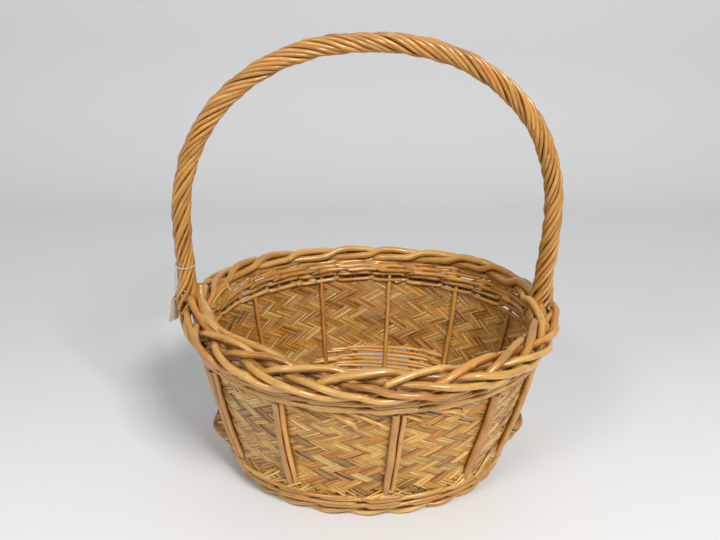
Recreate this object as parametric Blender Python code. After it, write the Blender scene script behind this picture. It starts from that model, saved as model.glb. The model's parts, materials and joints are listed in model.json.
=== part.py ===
"""Oval market basket of willow rods and bamboo matting, with a fixed bow handle.

Metres, +Z up, X along the basket's length, origin on the floor at the middle of the foot.
Angles round the basket are the ellipse's own parameter angle: 0 at +X, 90 at +Y.
"""

import math

import bmesh
import bpy
from mathutils import Vector

# Wall line: half length and half width of the oval, at the floor and at the border's height,
# and how far it bellies out between them.
WALL_AT_FLOOR = (0.1390, 0.1045)
WALL_AT_BORDER = (0.1820, 0.1555)
WALL_BELLY = (0.0060, 0.0035)
BORDER_HEIGHT = 0.184
CLEARANCE = 0.0006
# The oval body's middle lies a little to the right of the arch's middle, which is at X 0.
BODY_MIDDLE_X = 0.005

# Stakes: upright rods, one set outside the matting and one set inside it.
OUTER_STAKE_ANGLES = (35, 64, 93, 125, 155, 204, 236, 274, 308, 333)
INNER_STAKE_ANGLES = (20, 50, 79, 107, 138, 167, 192, 220, 255, 291, 320, 346)
OUTER_STAKE_RADIUS = 0.0036
INNER_STAKE_RADIUS = 0.0026
STAKE_FOOT_Z = 0.0125
STAKE_TOP_Z = 0.1728
STAKE_SIDES = 6
WALE_OFFSET = 0.0016
BEND_HEIGHT = 0.005

# Matting between the two sets of stakes.
MAT_BOTTOM_Z = 0.039
MAT_TOP_Z = 0.149
MAT_THICKNESS = 0.0020
MAT_MIDDLE_Z = (0.076, 0.112)
MAT_STEPS = 90
BULGE_DEPTH = 0.011
BULGE_Z = 0.044
BULGE_HALF_HEIGHT = 0.032
BULGE_SHOULDER_Z = 0.058
BULGES = ((192, 9), (347, 12))

# Pairing: two rods that twist round each other and pass each stake on both sides.
PAIRING_RADIUS = 0.0024
PAIRING_SIDES = 4
PAIRING_SLACK = 0.0013
LOWER_PAIRING_Z = (0.0185, 0.0295)
UPPER_PAIRING_Z = (0.1560, 0.1670)

# Foot: two rods twisted into a rope, with flats underneath that the basket stands on.
FOOT_OUT = 0.0020
FOOT_Z = 0.0049
FOOT_STRAND_RADIUS = 0.0030
FOOT_TWIST_RADIUS = 0.0034
FOOT_TURNS = 11
FOOT_STEPS_PER_TURN = 8

# Border: three strands plaited round the rim. They spread apart where a leg of the handle passes.
BORDER_HALF_SIZE = (0.185, 0.161)
BORDER_STRAND_RADIUS = 0.0040
BORDER_SIDEWAYS = 0.0110
BORDER_RISE = 0.0065
BORDER_WAVES = 5
BORDER_STEPS = 70
BORDER_STRANDS = 3
BORDER_SPREAD = 0.005
BORDER_SPREAD_REACH = 0.030
BORDER_SLACK = 0.0009
BORDER_INNER_SHARE = 0.7

# Base: bamboo matting on long and cross sticks.
BASE_MAT_BOTTOM_Z = 0.0132
BASE_MAT_THICKNESS = 0.0025
BASE_MAT_INSET = 0.0065
BASE_MAT_SIDES = 48
STICK_RADIUS = 0.0025
STICK_SIDES = 8
LONG_STICK_Z = 0.0102
LONG_STICK_Y = (-0.035, 0.0, 0.035)
CROSS_STICK_Z = 0.0046
CROSS_STICK_X = (-0.084, -0.028, 0.028, 0.084)

# Handle: one bow from foot to foot, with wrapping rods twisted round its arch.
BOW_RADIUS = 0.0036
BOW_SIDES = 6
BOW_OUT = 0.0052
BOW_FOOT_Z = 0.0130
ARCH_TOP_Z = 0.4647
ARCH_WIDEST_Z = 0.2810
ARCH_WIDEST_HALF = 0.1907
ARCH_FOOT_HALF = 0.1845
ARCH_POWER = 2.16
ARCH_SHIFT_START_Z = 0.150
ARCH_SHIFT_END_Z = 0.205
ARCH_LEAN_Y = -0.0064
ARCH_STEPS = 26
LEG_RIM_Z = 0.162
LEG_CLIMB = 0.0145
WRAP_COUNT = 5
WRAP_TURNS = 7.5
WRAP_STEPS_PER_TURN = 8
WRAP_HELIX_RADIUS = 0.0070
WRAP_HALF_THICKNESS = 0.0026
WRAP_HALF_WIDTH = 0.0036
WRAP_SIDES = 6
WRAP_START_Z = 0.1985

# Swing tag: a blank card on a thread loop, tied round the left leg of the handle.
TIE_Z = 0.2365
TIE_RADIUS = 0.0107
TIE_THREAD_RADIUS = 0.0006
TIE_STEPS = 24
EYE_TURN = math.radians(-30)
EYE_REACH = 0.0018
EYE_HALF_ANGLE = math.radians(20)
LOOP_HALF_WIDTH = 0.0017
LOOP_LENGTH = 0.039
LOOP_THREAD_RADIUS = 0.00045
LOOP_BEND_STEPS = 6
THREAD_SIDES = 5
CARD_SIZE = (0.0006, 0.018, 0.030)
CARD_HOLE_RADIUS = 0.0016
CARD_HOLE_DROP = 0.0415
CARD_HOLE_FROM_TOP = 0.004
CARD_HOLE_SIDES = 16
CARD_LEAN = math.radians(6)

SHARP_ANGLE = math.radians(50)
UP = Vector((0, 0, 1))
AWAY = Vector((0, 1, 0))


def clear_scene():
    for obj in list(bpy.data.objects):
        bpy.data.objects.remove(obj, do_unlink=True)


def material(name, colour, roughness, metallic=0.0):
    mat = bpy.data.materials.get(name) or bpy.data.materials.new(name)
    mat.use_nodes = True
    shader = mat.node_tree.nodes["Principled BSDF"]
    shader.inputs["Base Color"].default_value = (*colour, 1.0)
    shader.inputs["Roughness"].default_value = roughness
    shader.inputs["Metallic"].default_value = metallic
    mat.diffuse_color = (*colour, 1.0)
    return mat


def thick_willow():
    return material("thick_willow", (0.55, 0.27, 0.08), 0.35)


def thin_willow():
    return material("thin_willow", (0.60, 0.33, 0.10), 0.38)


def split_bamboo():
    return material("split_bamboo", (0.66, 0.42, 0.16), 0.42)


def white_thread():
    return material("white_thread", (0.80, 0.79, 0.75), 0.85)


def grey_card():
    return material("grey_card", (0.55, 0.50, 0.45), 0.75)


def add_object(name, bm, mat):
    bmesh.ops.recalc_face_normals(bm, faces=bm.faces)
    mesh = bpy.data.meshes.new(name)
    bm.to_mesh(mesh)
    bm.free()
    mesh.materials.append(mat)
    mesh.shade_smooth()
    mesh.set_sharp_from_angle(angle=SHARP_ANGLE)
    obj = bpy.data.objects.new(name, mesh)
    bpy.context.scene.collection.objects.link(obj)
    return obj


def tangents(points, closed):
    """Unit direction of travel at each point of a path."""
    count = len(points)
    result = []
    for i in range(count):
        before = points[i - 1] if closed or i > 0 else points[i]
        after = points[(i + 1) % count] if closed or i < count - 1 else points[i]
        result.append((after - before).normalized())
    return result


def tube(name, points, across, half_sizes, sides, closed, mat):
    """A rod along a path; across gives the direction of the section's first half size."""
    bm = bmesh.new()
    rings = []
    for i, (point, along) in enumerate(zip(points, tangents(points, closed))):
        guide = across[i] if isinstance(across, list) else across
        first = (guide - along * guide.dot(along)).normalized()
        second = along.cross(first)
        ring = []
        for k in range(sides):
            turn = 2 * math.pi * (k + 0.5) / sides
            offset = first * half_sizes[0] * math.cos(turn) + second * half_sizes[1] * math.sin(turn)
            ring.append(bm.verts.new(point + offset))
        rings.append(ring)
    joins = len(rings) if closed else len(rings) - 1
    for i in range(joins):
        near, far = rings[i], rings[(i + 1) % len(rings)]
        for k in range(sides):
            bm.faces.new((near[k], near[(k + 1) % sides], far[(k + 1) % sides], far[k]))
    if not closed:
        bm.faces.new(rings[0])
        bm.faces.new(rings[-1])
    return add_object(name, bm, mat)


def round_tube(name, points, across, radius, sides, closed, mat):
    return tube(name, points, across, (radius, radius), sides, closed, mat)


def wall_half_size(z):
    part = z / BORDER_HEIGHT
    sizes = zip(WALL_AT_FLOOR, WALL_AT_BORDER, WALL_BELLY)
    return tuple(low + (high - low) * part + belly * math.sin(math.pi * part) for low, high, belly in sizes)


def oval_normal(half_size, angle):
    return Vector((math.cos(angle) * half_size[1], math.sin(angle) * half_size[0], 0)).normalized()


def oval_point(half_size, angle, out, z):
    """Point of an oval at the parameter angle, moved out along the level normal."""
    along_x = BODY_MIDDLE_X + half_size[0] * math.cos(angle)
    on_oval = Vector((along_x, half_size[1] * math.sin(angle), z))
    return on_oval + oval_normal(half_size, angle) * out


def wall_point(angle, out, z):
    return oval_point(wall_half_size(z), angle, out, z)


def smooth_step(value):
    value = min(max(value, 0.0), 1.0)
    return value * value * (3 - 2 * value)


# ---------------------------------------------------------------- stakes and matting

def mat_side_offset(radius):
    """How far a stake's axis stands off the middle of the matting."""
    return MAT_THICKNESS / 2 + radius + CLEARANCE


def make_stake(name, degrees, radius, side, mat):
    angle = math.radians(degrees)
    full = side * mat_side_offset(radius)
    near_wale = side * WALE_OFFSET
    course = [
        (STAKE_FOOT_Z, near_wale),
        (MAT_BOTTOM_Z - CLEARANCE - BEND_HEIGHT, near_wale),
        (MAT_BOTTOM_Z - CLEARANCE, full),
    ]
    course += [(z, full) for z in MAT_MIDDLE_Z]
    course += [
        (MAT_TOP_Z + CLEARANCE, full),
        (MAT_TOP_Z + CLEARANCE + BEND_HEIGHT, near_wale),
        (STAKE_TOP_Z, near_wale),
    ]
    points = [wall_point(angle, out, z) for z, out in course]
    across = oval_normal(wall_half_size(MAT_TOP_Z), angle)
    return round_tube(name, points, across, radius, STAKE_SIDES, False, mat)


def make_stakes():
    for number, degrees in enumerate(OUTER_STAKE_ANGLES, start=1):
        make_stake(f"outer_stake_{number:02d}", degrees, OUTER_STAKE_RADIUS, 1, thick_willow())
    for number, degrees in enumerate(INNER_STAKE_ANGLES, start=1):
        make_stake(f"inner_stake_{number:02d}", degrees, INNER_STAKE_RADIUS, -1, thin_willow())


def mat_bulge(degrees, z):
    """The matting's loose lower edge swells out between two stakes at each end."""
    height = abs(z - BULGE_Z) / BULGE_HALF_HEIGHT
    swell = 0.0
    for centre, half_width in BULGES:
        width = abs(degrees - centre) / half_width
        if width < 1 and height < 1:
            swell += BULGE_DEPTH * (math.cos(width * math.pi / 2) * math.cos(height * math.pi / 2)) ** 2
    return swell


def make_mat():
    levels = (MAT_BOTTOM_Z, BULGE_Z, BULGE_SHOULDER_Z, *MAT_MIDDLE_Z, MAT_TOP_Z)
    profile = [(z, MAT_THICKNESS / 2) for z in levels]
    profile += [(z, -MAT_THICKNESS / 2) for z in reversed(levels)]
    bm = bmesh.new()
    columns = []
    for i in range(MAT_STEPS):
        degrees = 360 * i / MAT_STEPS
        angle = math.radians(degrees)
        column = [bm.verts.new(wall_point(angle, out + mat_bulge(degrees, z), z)) for z, out in profile]
        columns.append(column)
    count = len(profile)
    for i in range(MAT_STEPS):
        near, far = columns[i], columns[(i + 1) % MAT_STEPS]
        for k in range(count):
            bm.faces.new((near[k], near[(k + 1) % count], far[(k + 1) % count], far[k]))
    return add_object("bamboo_mat", bm, split_bamboo())


# ---------------------------------------------------------------- woven rounds

def stations(z):
    """Uprights that a round weaves past: angle, distance off the wall line, radius."""
    found = [(degrees, WALE_OFFSET, OUTER_STAKE_RADIUS) for degrees in OUTER_STAKE_ANGLES]
    found += [(degrees, -WALE_OFFSET, INNER_STAKE_RADIUS) for degrees in INNER_STAKE_ANGLES]
    for degrees, side in ((0, 1), (180, -1)):
        leg_reach = side * (leg_point(side, z).x - BODY_MIDDLE_X)
        found.append((degrees, leg_reach - wall_half_size(z)[0], BOW_RADIUS))
    return sorted(found)


def make_pairing_rod(name, z, start_side):
    """One of a pair: outside one upright and inside the next, over or under its partner between."""
    uprights = stations(z)
    points = []
    for i, (degrees, out, radius) in enumerate(uprights):
        side = start_side * (1 if i % 2 == 0 else -1)
        reach = radius + PAIRING_RADIUS + PAIRING_SLACK
        points.append(wall_point(math.radians(degrees), out + side * reach, z))
        following, next_out, _ = uprights[(i + 1) % len(uprights)]
        if following < degrees:
            following += 360
        middle = math.radians((degrees + following) / 2)
        lift = side * (PAIRING_RADIUS + CLEARANCE / 2)
        points.append(wall_point(middle, (out + next_out) / 2, z + lift))
    return round_tube(name, points, UP, PAIRING_RADIUS, PAIRING_SIDES, True, thin_willow())


def make_pairing(prefix, heights):
    number = 1
    for z in heights:
        for side in (1, -1):
            make_pairing_rod(f"{prefix}_{number}", z, side)
            number += 1


def make_foot():
    steps = FOOT_TURNS * FOOT_STEPS_PER_TURN
    for strand in range(2):
        points = []
        for i in range(steps):
            angle = 2 * math.pi * i / steps
            twist = FOOT_TURNS * angle + math.pi / 2 + strand * math.pi
            out = FOOT_OUT + FOOT_TWIST_RADIUS * math.cos(twist)
            rise = FOOT_TWIST_RADIUS * math.sin(twist)
            points.append(oval_point(wall_half_size(FOOT_Z), angle, out, FOOT_Z + rise))
        name = f"foot_strand_{strand + 1}"
        rope = round_tube(name, points, UP, FOOT_STRAND_RADIUS, STAKE_SIDES, True, thick_willow())
        for vert in rope.data.vertices:
            vert.co.z = max(vert.co.z, 0.0)


def clear_of_leg(angle, out, z):
    """Spreads the border's strands where a leg of the handle comes up between them."""
    room = BOW_RADIUS + BORDER_STRAND_RADIUS + BORDER_SLACK
    centre = oval_point(BORDER_HALF_SIZE, angle, 0, z)
    sideways = oval_normal(BORDER_HALF_SIZE, angle)
    leg = leg_point(math.copysign(1, math.cos(angle)), z) - centre
    across = leg.dot(sideways)
    beside = (leg - sideways * across).length
    side = math.copysign(1, out - across)
    if abs(out) < BORDER_SIDEWAYS * BORDER_INNER_SHARE:
        out += side * BORDER_SPREAD * smooth_step(1 - beside / BORDER_SPREAD_REACH)
    needed = math.sqrt(max(room * room - beside * beside, 0))
    return across + side * max(abs(out - across), needed)


def make_border():
    for strand in range(BORDER_STRANDS):
        points = []
        for i in range(BORDER_STEPS):
            angle = 2 * math.pi * i / BORDER_STEPS
            wave = BORDER_WAVES * angle + math.radians(270 + 360 * strand / BORDER_STRANDS)
            z = BORDER_HEIGHT + BORDER_RISE * math.sin(2 * wave)
            out = clear_of_leg(angle, BORDER_SIDEWAYS * math.sin(wave), z)
            points.append(oval_point(BORDER_HALF_SIZE, angle, out, z))
        name = f"border_strand_{strand + 1}"
        round_tube(name, points, UP, BORDER_STRAND_RADIUS, STAKE_SIDES, True, thick_willow())


# ---------------------------------------------------------------- base

def make_base_mat():
    half_size = [half - BASE_MAT_INSET for half in wall_half_size(BASE_MAT_BOTTOM_Z)]
    bm = bmesh.new()
    rim = []
    for i in range(BASE_MAT_SIDES):
        angle = 2 * math.pi * i / BASE_MAT_SIDES
        rim.append(bm.verts.new(oval_point(half_size, angle, 0, BASE_MAT_BOTTOM_Z)))
    bottom = bm.faces.new(rim)
    top = bmesh.ops.extrude_face_region(bm, geom=[bottom], use_keep_orig=True)
    lifted = [item for item in top["geom"] if isinstance(item, bmesh.types.BMVert)]
    bmesh.ops.translate(bm, verts=lifted, vec=(0, 0, BASE_MAT_THICKNESS))
    return add_object("base_mat", bm, split_bamboo())


def foot_inner_half_size():
    inset = FOOT_OUT - FOOT_TWIST_RADIUS - FOOT_STRAND_RADIUS - CLEARANCE
    return [half + inset for half in wall_half_size(FOOT_Z)]


def stick_half_length(offset, lengthwise):
    """Reach of a base stick that lies offset from the middle, inside the foot."""
    half_size = foot_inner_half_size()
    reach, width = half_size if lengthwise else reversed(half_size)
    edge = abs(offset) + STICK_RADIUS
    return reach * math.sqrt(1 - (edge / width) ** 2)


def make_base_sticks():
    for number, y in enumerate(LONG_STICK_Y, start=1):
        reach = stick_half_length(y, True)
        ends = [Vector((BODY_MIDDLE_X + end * reach, y, LONG_STICK_Z)) for end in (-1, 1)]
        name = f"base_long_stick_{number}"
        round_tube(name, ends, UP, STICK_RADIUS, STICK_SIDES, False, thick_willow())
    for number, x in enumerate(CROSS_STICK_X, start=1):
        reach = stick_half_length(x, False)
        ends = [Vector((BODY_MIDDLE_X + x, end * reach, CROSS_STICK_Z)) for end in (-1, 1)]
        name = f"base_cross_stick_{number}"
        round_tube(name, ends, UP, STICK_RADIUS, STICK_SIDES, False, thick_willow())


# ---------------------------------------------------------------- handle

def arch_shift(z):
    """The legs start from the body's middle, the arch is centred on X 0 and leans forward."""
    part = (z - ARCH_SHIFT_START_Z) / (ARCH_SHIFT_END_Z - ARCH_SHIFT_START_Z)
    lean = max(z - BORDER_HEIGHT, 0) / (ARCH_TOP_Z - BORDER_HEIGHT)
    return Vector((BODY_MIDDLE_X * (1 - smooth_step(part)), ARCH_LEAN_Y * lean, 0))


def leg_half_width(z):
    """Half the distance between the legs' axes, up to the arch's widest level."""
    along_wall = wall_half_size(z)[0] + BOW_OUT
    part = min(max((z - BORDER_HEIGHT) / (ARCH_WIDEST_Z - BORDER_HEIGHT), 0), 1)
    free = ARCH_FOOT_HALF + (ARCH_WIDEST_HALF - ARCH_FOOT_HALF) * (1 - (1 - part) ** 2)
    return min(along_wall, free)


def leg_point(side, z):
    return Vector((side * leg_half_width(z), 0, z)) + arch_shift(z)


def arch_point(turn):
    """Point of the arch above its widest level; turn runs from 0 at the left to pi at the right."""
    power = 2 / ARCH_POWER
    sideways = -math.copysign(abs(math.cos(turn)) ** power, math.cos(turn))
    z = ARCH_WIDEST_Z + (ARCH_TOP_Z - ARCH_WIDEST_Z) * max(math.sin(turn), 0.0) ** power
    return Vector((ARCH_WIDEST_HALF * sideways, 0, z)) + arch_shift(z)


def bow_course(start_z):
    """The bow's axis from start_z on the left leg, over the top, to start_z on the right leg."""
    beside_wall = (MAT_BOTTOM_Z, *MAT_MIDDLE_Z, MAT_TOP_Z, LEG_RIM_Z)
    levels = [start_z] + [z for z in beside_wall if z > start_z]
    z = levels[-1] + LEG_CLIMB
    while z < ARCH_WIDEST_Z - LEG_CLIMB / 2:
        levels.append(z)
        z += LEG_CLIMB
    left = [leg_point(-1, z) for z in levels]
    arch = [arch_point(math.pi * i / ARCH_STEPS) for i in range(ARCH_STEPS + 1)]
    right = [leg_point(1, z) for z in reversed(levels)]
    return left + arch + right


def even_course(points, count):
    """The same course, divided into count equal lengths."""
    lengths = [(b - a).length for a, b in zip(points, points[1:])]
    step = sum(lengths) / count
    result = [points[0]]
    travelled = 0.0
    for a, b, length in zip(points, points[1:], lengths):
        while len(result) < count and travelled + length >= step * len(result):
            part = (step * len(result) - travelled) / length
            result.append(a.lerp(b, part))
        travelled += length
    result.append(points[-1])
    return result


def make_bow():
    course = bow_course(BOW_FOOT_Z)
    return round_tube("handle_bow", course, AWAY, BOW_RADIUS, BOW_SIDES, False, thick_willow())


def make_wraps():
    steps = int(WRAP_TURNS * WRAP_STEPS_PER_TURN)
    course = even_course(bow_course(WRAP_START_Z), steps)
    directions = tangents(course, False)
    for wrap in range(WRAP_COUNT):
        points = []
        radials = []
        for i, (centre, along) in enumerate(zip(course, directions)):
            turn = 2 * math.pi * (WRAP_TURNS * i / steps + wrap / WRAP_COUNT)
            outward = along.cross(AWAY).normalized()
            radial = outward * math.cos(turn) + along.cross(outward) * math.sin(turn)
            points.append(centre + radial * WRAP_HELIX_RADIUS)
            radials.append(radial)
        half_sizes = (WRAP_HALF_THICKNESS, WRAP_HALF_WIDTH)
        tube(f"handle_wrap_{wrap + 1}", points, radials, half_sizes, WRAP_SIDES, False, thin_willow())


# ---------------------------------------------------------------- swing tag

def tie_frame():
    """Centre of the thread tie, and the two directions of its plane."""
    centre = leg_point(-1, TIE_Z)
    along = (leg_point(-1, TIE_Z + CLEARANCE) - leg_point(-1, TIE_Z - CLEARANCE)).normalized()
    outward = along.cross(AWAY).normalized()
    return centre, outward, along.cross(outward)


def make_tie():
    centre, outward, nearward = tie_frame()
    points = []
    for i in range(TIE_STEPS):
        turn = EYE_TURN + 2 * math.pi * i / TIE_STEPS
        from_eye = abs(math.remainder(turn - EYE_TURN, 2 * math.pi)) / EYE_HALF_ANGLE
        reach = TIE_RADIUS + EYE_REACH * smooth_step(1 - from_eye)
        points.append(centre + (outward * math.cos(turn) + nearward * math.sin(turn)) * reach)
    across = outward.cross(nearward)
    return round_tube("tag_tie", points, across, TIE_THREAD_RADIUS, THREAD_SIDES, True, white_thread())


def make_hinge():
    """The tag's loop turns on the thread at the tie's eye; local X points away from the leg."""
    centre, outward, nearward = tie_frame()
    radial = outward * math.cos(EYE_TURN) + nearward * math.sin(EYE_TURN)
    hinge = bpy.data.objects.new("tag_hinge", None)
    bpy.context.scene.collection.objects.link(hinge)
    hinge.location = centre + radial * (TIE_RADIUS + EYE_REACH)
    hinge.rotation_euler = (0, 0, math.atan2(radial.y, radial.x))
    return hinge


def make_loop(hinge):
    points = []
    for level, start in ((0, 0), (-LOOP_LENGTH, math.pi)):
        for i in range(LOOP_BEND_STEPS + 1):
            turn = start + math.pi * i / LOOP_BEND_STEPS
            x = LOOP_HALF_WIDTH * math.cos(turn)
            z = level + LOOP_HALF_WIDTH * math.sin(turn)
            points.append(Vector((x, 0, z)))
    loop = round_tube("tag_loop", points, AWAY, LOOP_THREAD_RADIUS, THREAD_SIDES, True, white_thread())
    loop.parent = hinge


def make_card(hinge):
    bm = bmesh.new()
    bmesh.ops.create_cube(bm, size=1)
    bmesh.ops.scale(bm, verts=bm.verts, vec=CARD_SIZE)
    below_hole = CARD_SIZE[2] / 2 - CARD_HOLE_FROM_TOP
    bmesh.ops.translate(bm, verts=bm.verts, vec=(0, 0, -below_hole))
    card = add_object("swing_tag", bm, grey_card())
    drill = bmesh.new()
    bmesh.ops.create_cone(
        drill, cap_ends=True, segments=CARD_HOLE_SIDES, radius1=CARD_HOLE_RADIUS,
        radius2=CARD_HOLE_RADIUS, depth=LOOP_LENGTH,
    )
    cutter = add_object("tag_hole_cutter", drill, grey_card())
    cutter.hide_render = True
    cutter.display_type = "WIRE"
    cutter.rotation_euler = (0, math.pi / 2, 0)
    cut = card.modifiers.new("hole", "BOOLEAN")
    cut.operation = "DIFFERENCE"
    cut.solver = "EXACT"
    cut.object = cutter
    for obj in (card, cutter):
        obj.parent = hinge
        obj.location = (0, 0, -CARD_HOLE_DROP)
    card.rotation_euler = (CARD_LEAN, 0, 0)


def make_tag():
    make_tie()
    hinge = make_hinge()
    make_loop(hinge)
    make_card(hinge)


def main():
    clear_scene()
    make_foot()
    make_base_sticks()
    make_base_mat()
    make_stakes()
    make_pairing("lower_pairing", LOWER_PAIRING_Z)
    make_mat()
    make_pairing("upper_pairing", UPPER_PAIRING_Z)
    make_border()
    make_bow()
    make_wraps()
    make_tag()


main()
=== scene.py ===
"""Looks of the oval market basket: willow rods, split bamboo matting, thread and a blank card.

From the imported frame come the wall's oval (the matting's boxes), the arch's width and height (the
bow's box), each stake's angle (its own node), the base sticks, the tie's height and the tag's hinge.
Other heights, thicknesses and courses are values in this script. Lengths are in metres.
"""

import json
import math

import bpy
import numpy as np
from mathutils import Matrix, Vector


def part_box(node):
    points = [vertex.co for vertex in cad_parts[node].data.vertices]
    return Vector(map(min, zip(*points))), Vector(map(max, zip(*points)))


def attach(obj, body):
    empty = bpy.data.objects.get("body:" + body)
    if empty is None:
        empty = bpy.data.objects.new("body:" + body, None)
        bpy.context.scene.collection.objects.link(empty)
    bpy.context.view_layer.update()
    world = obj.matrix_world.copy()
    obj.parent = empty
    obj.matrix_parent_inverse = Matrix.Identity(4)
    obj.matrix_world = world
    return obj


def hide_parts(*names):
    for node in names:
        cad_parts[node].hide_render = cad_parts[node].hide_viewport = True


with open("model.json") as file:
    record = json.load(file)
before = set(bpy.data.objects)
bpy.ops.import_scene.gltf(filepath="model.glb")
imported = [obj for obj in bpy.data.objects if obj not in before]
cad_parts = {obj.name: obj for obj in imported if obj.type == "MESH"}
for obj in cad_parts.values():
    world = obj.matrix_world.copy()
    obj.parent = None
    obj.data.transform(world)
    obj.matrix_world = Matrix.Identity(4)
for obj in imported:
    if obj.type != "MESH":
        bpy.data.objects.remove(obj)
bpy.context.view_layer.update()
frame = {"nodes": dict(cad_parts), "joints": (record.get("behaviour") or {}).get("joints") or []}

UP = np.array((0.0, 0.0, 1.0))
AWAY = np.array((0.0, 1.0, 0.0))
FULL_TURN = 2 * math.pi

# ---------------------------------------------------------------- the basket's lines, from the frame

WALL_BELLY = np.array((0.0060, 0.0035))
BORDER_HEIGHT = 0.184
BASE_MAT_INSET = 0.0065
MAT_THICKNESS = 0.0020
STAKE_OFFSET = 0.0016


def half_size(node):
    """Half length and half width of a node's box."""
    low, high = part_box(node)
    return np.array(((high.x - low.x) / 2, (high.y - low.y) / 2))


BASE_LOW, BASE_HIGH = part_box("base_mat")
MAT_LOW, MAT_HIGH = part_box("bamboo_mat")
BODY_MIDDLE = np.array(((BASE_LOW.x + BASE_HIGH.x) / 2, 0.0, 0.0))
MAT_BOTTOM_Z, MAT_TOP_Z = MAT_LOW.z, MAT_HIGH.z


def belly(z):
    return WALL_BELLY * np.sin(math.pi * np.clip(z, 0, BORDER_HEIGHT) / BORDER_HEIGHT)


LOW_LINE = half_size("base_mat") + BASE_MAT_INSET - belly(BASE_LOW.z)
HIGH_LINE = half_size("bamboo_mat") - MAT_THICKNESS / 2 - belly(MAT_TOP_Z)
WALL_SLOPE = (HIGH_LINE - LOW_LINE) / (MAT_TOP_Z - BASE_LOW.z)


def wall_half(z):
    """Half length and half width of the wall's oval at height z; z may be an array."""
    z = np.asarray(z, float)[..., None]
    return LOW_LINE + WALL_SLOPE * (z - BASE_LOW.z) + belly(z)


def oval(half, angle, out, z):
    """Points of an oval at parameter angles, moved out along the level normal."""
    half, angle, out, z = (np.asarray(value, float) for value in (half, angle, out, z))
    c, s = np.cos(angle), np.sin(angle)
    nx, ny = c * half[..., 1], s * half[..., 0]
    size = np.hypot(nx, ny)
    x = BODY_MIDDLE[0] + half[..., 0] * c + out * nx / size
    y = half[..., 1] * s + out * ny / size
    return np.stack(np.broadcast_arrays(x, y, z), -1)


def wall(angle, out, z):
    return oval(wall_half(z), angle, out, z)


def unit(vectors):
    """The same directions at length one."""
    return vectors / np.linalg.norm(vectors, axis=-1, keepdims=True)


def outward(angle):
    """Level unit normals of the wall's oval, pointing out."""
    half = wall_half(MAT_TOP_Z)
    return unit(np.stack((np.cos(angle) * half[1], np.sin(angle) * half[0], 0 * np.asarray(angle)), -1))


def angle_of(node):
    """Parameter angle of an upright, read from its foot."""
    points = np.array([v.co for v in frame["nodes"][node].data.vertices], float)
    foot = points[points[:, 2] < points[:, 2].min() + 0.004].mean(0) - BODY_MIDDLE
    half = wall_half(foot[2])
    return math.atan2(foot[1] / half[1], foot[0] / half[0]) % FULL_TURN


OUTER_STAKES = [f"outer_stake_{i:02d}" for i in range(1, 11)]
INNER_STAKES = [f"inner_stake_{i:02d}" for i in range(1, 13)]
OUTER_ANGLES = {name: angle_of(name) for name in OUTER_STAKES}
INNER_ANGLES = {name: angle_of(name) for name in INNER_STAKES}
STATIONS = sorted([*OUTER_ANGLES.values(), *INNER_ANGLES.values(), 0.0, math.pi])

BOW_LOW, BOW_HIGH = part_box("handle_bow")
BOW_RADIUS = 0.0036
BOW_OUT = 0.0052
ARCH_WIDEST_Z = 0.2810
ARCH_WIDEST_HALF = (BOW_HIGH.x - BOW_LOW.x) / 2 - BOW_RADIUS
ARCH_FOOT_HALF = 0.1845
ARCH_TOP_Z = BOW_HIGH.z - BOW_RADIUS
ARCH_POWER = 2.16
ARCH_SHIFT_Z = (0.150, 0.205)
ARCH_LEAN_Y = -0.0064


def smooth_step(value):
    value = np.clip(value, 0, 1)
    return value * value * (3 - 2 * value)


def arch_shift(z):
    part = (z - ARCH_SHIFT_Z[0]) / (ARCH_SHIFT_Z[1] - ARCH_SHIFT_Z[0])
    lean = max(z - BORDER_HEIGHT, 0) / (ARCH_TOP_Z - BORDER_HEIGHT)
    return np.array((BODY_MIDDLE[0] * (1 - smooth_step(part)), ARCH_LEAN_Y * lean, 0.0))


def leg_point(side, z):
    """Axis of the bow's leg; side is -1 on the left and 1 on the right."""
    part = min(max((z - BORDER_HEIGHT) / (ARCH_WIDEST_Z - BORDER_HEIGHT), 0), 1)
    free = ARCH_FOOT_HALF + (ARCH_WIDEST_HALF - ARCH_FOOT_HALF) * (1 - (1 - part) ** 2)
    half = min(wall_half(z)[0] + BOW_OUT, free)
    return np.array((side * half, 0.0, z)) + arch_shift(z)


def arch_point(turn):
    power = 2 / ARCH_POWER
    sideways = -math.copysign(abs(math.cos(turn)) ** power, math.cos(turn))
    z = ARCH_WIDEST_Z + (ARCH_TOP_Z - ARCH_WIDEST_Z) * max(math.sin(turn), 0.0) ** power
    return np.array((ARCH_WIDEST_HALF * sideways, 0.0, z)) + arch_shift(z)


def lengths_along(points):
    """Length of the course from its start to each point."""
    return np.concatenate(([0], np.cumsum(np.linalg.norm(np.diff(points, axis=0), axis=1))))


def resample(points, spacing):
    """The same course at even steps."""
    points = np.asarray(points, float)
    lengths = lengths_along(points)
    count = max(int(lengths[-1] / spacing), 2)
    at = np.linspace(0, lengths[-1], count + 1)
    return np.stack([np.interp(at, lengths, points[:, k]) for k in range(3)], -1)


def bow_course(start_z, spacing):
    levels = np.linspace(start_z, ARCH_WIDEST_Z, 40)
    left = [leg_point(-1, z) for z in levels[:-1]]
    arch = [arch_point(math.pi * i / 160) for i in range(161)]
    right = [leg_point(1, z) for z in levels[:-1][::-1]]
    return resample(left + arch + right, spacing)


def curve_through(points, spacing):
    """A smooth course through a few points (Catmull-Rom)."""
    p = np.asarray(points, float)
    p = np.concatenate(([2 * p[0] - p[1]], p, [2 * p[-1] - p[-2]]))
    t = np.linspace(0, 1, 24, endpoint=False)[:, None]
    parts = []
    for a, b, c, d in zip(p, p[1:], p[2:], p[3:]):
        parts.append(0.5 * (2 * b + (c - a) * t + (2 * a - 5 * b + 4 * c - d) * t ** 2
                            + (3 * b - a - 3 * c + d) * t ** 3))
    return resample(np.concatenate([*parts, [p[-2]]]), spacing)


# ---------------------------------------------------------------- rods and splints as meshes

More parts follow.
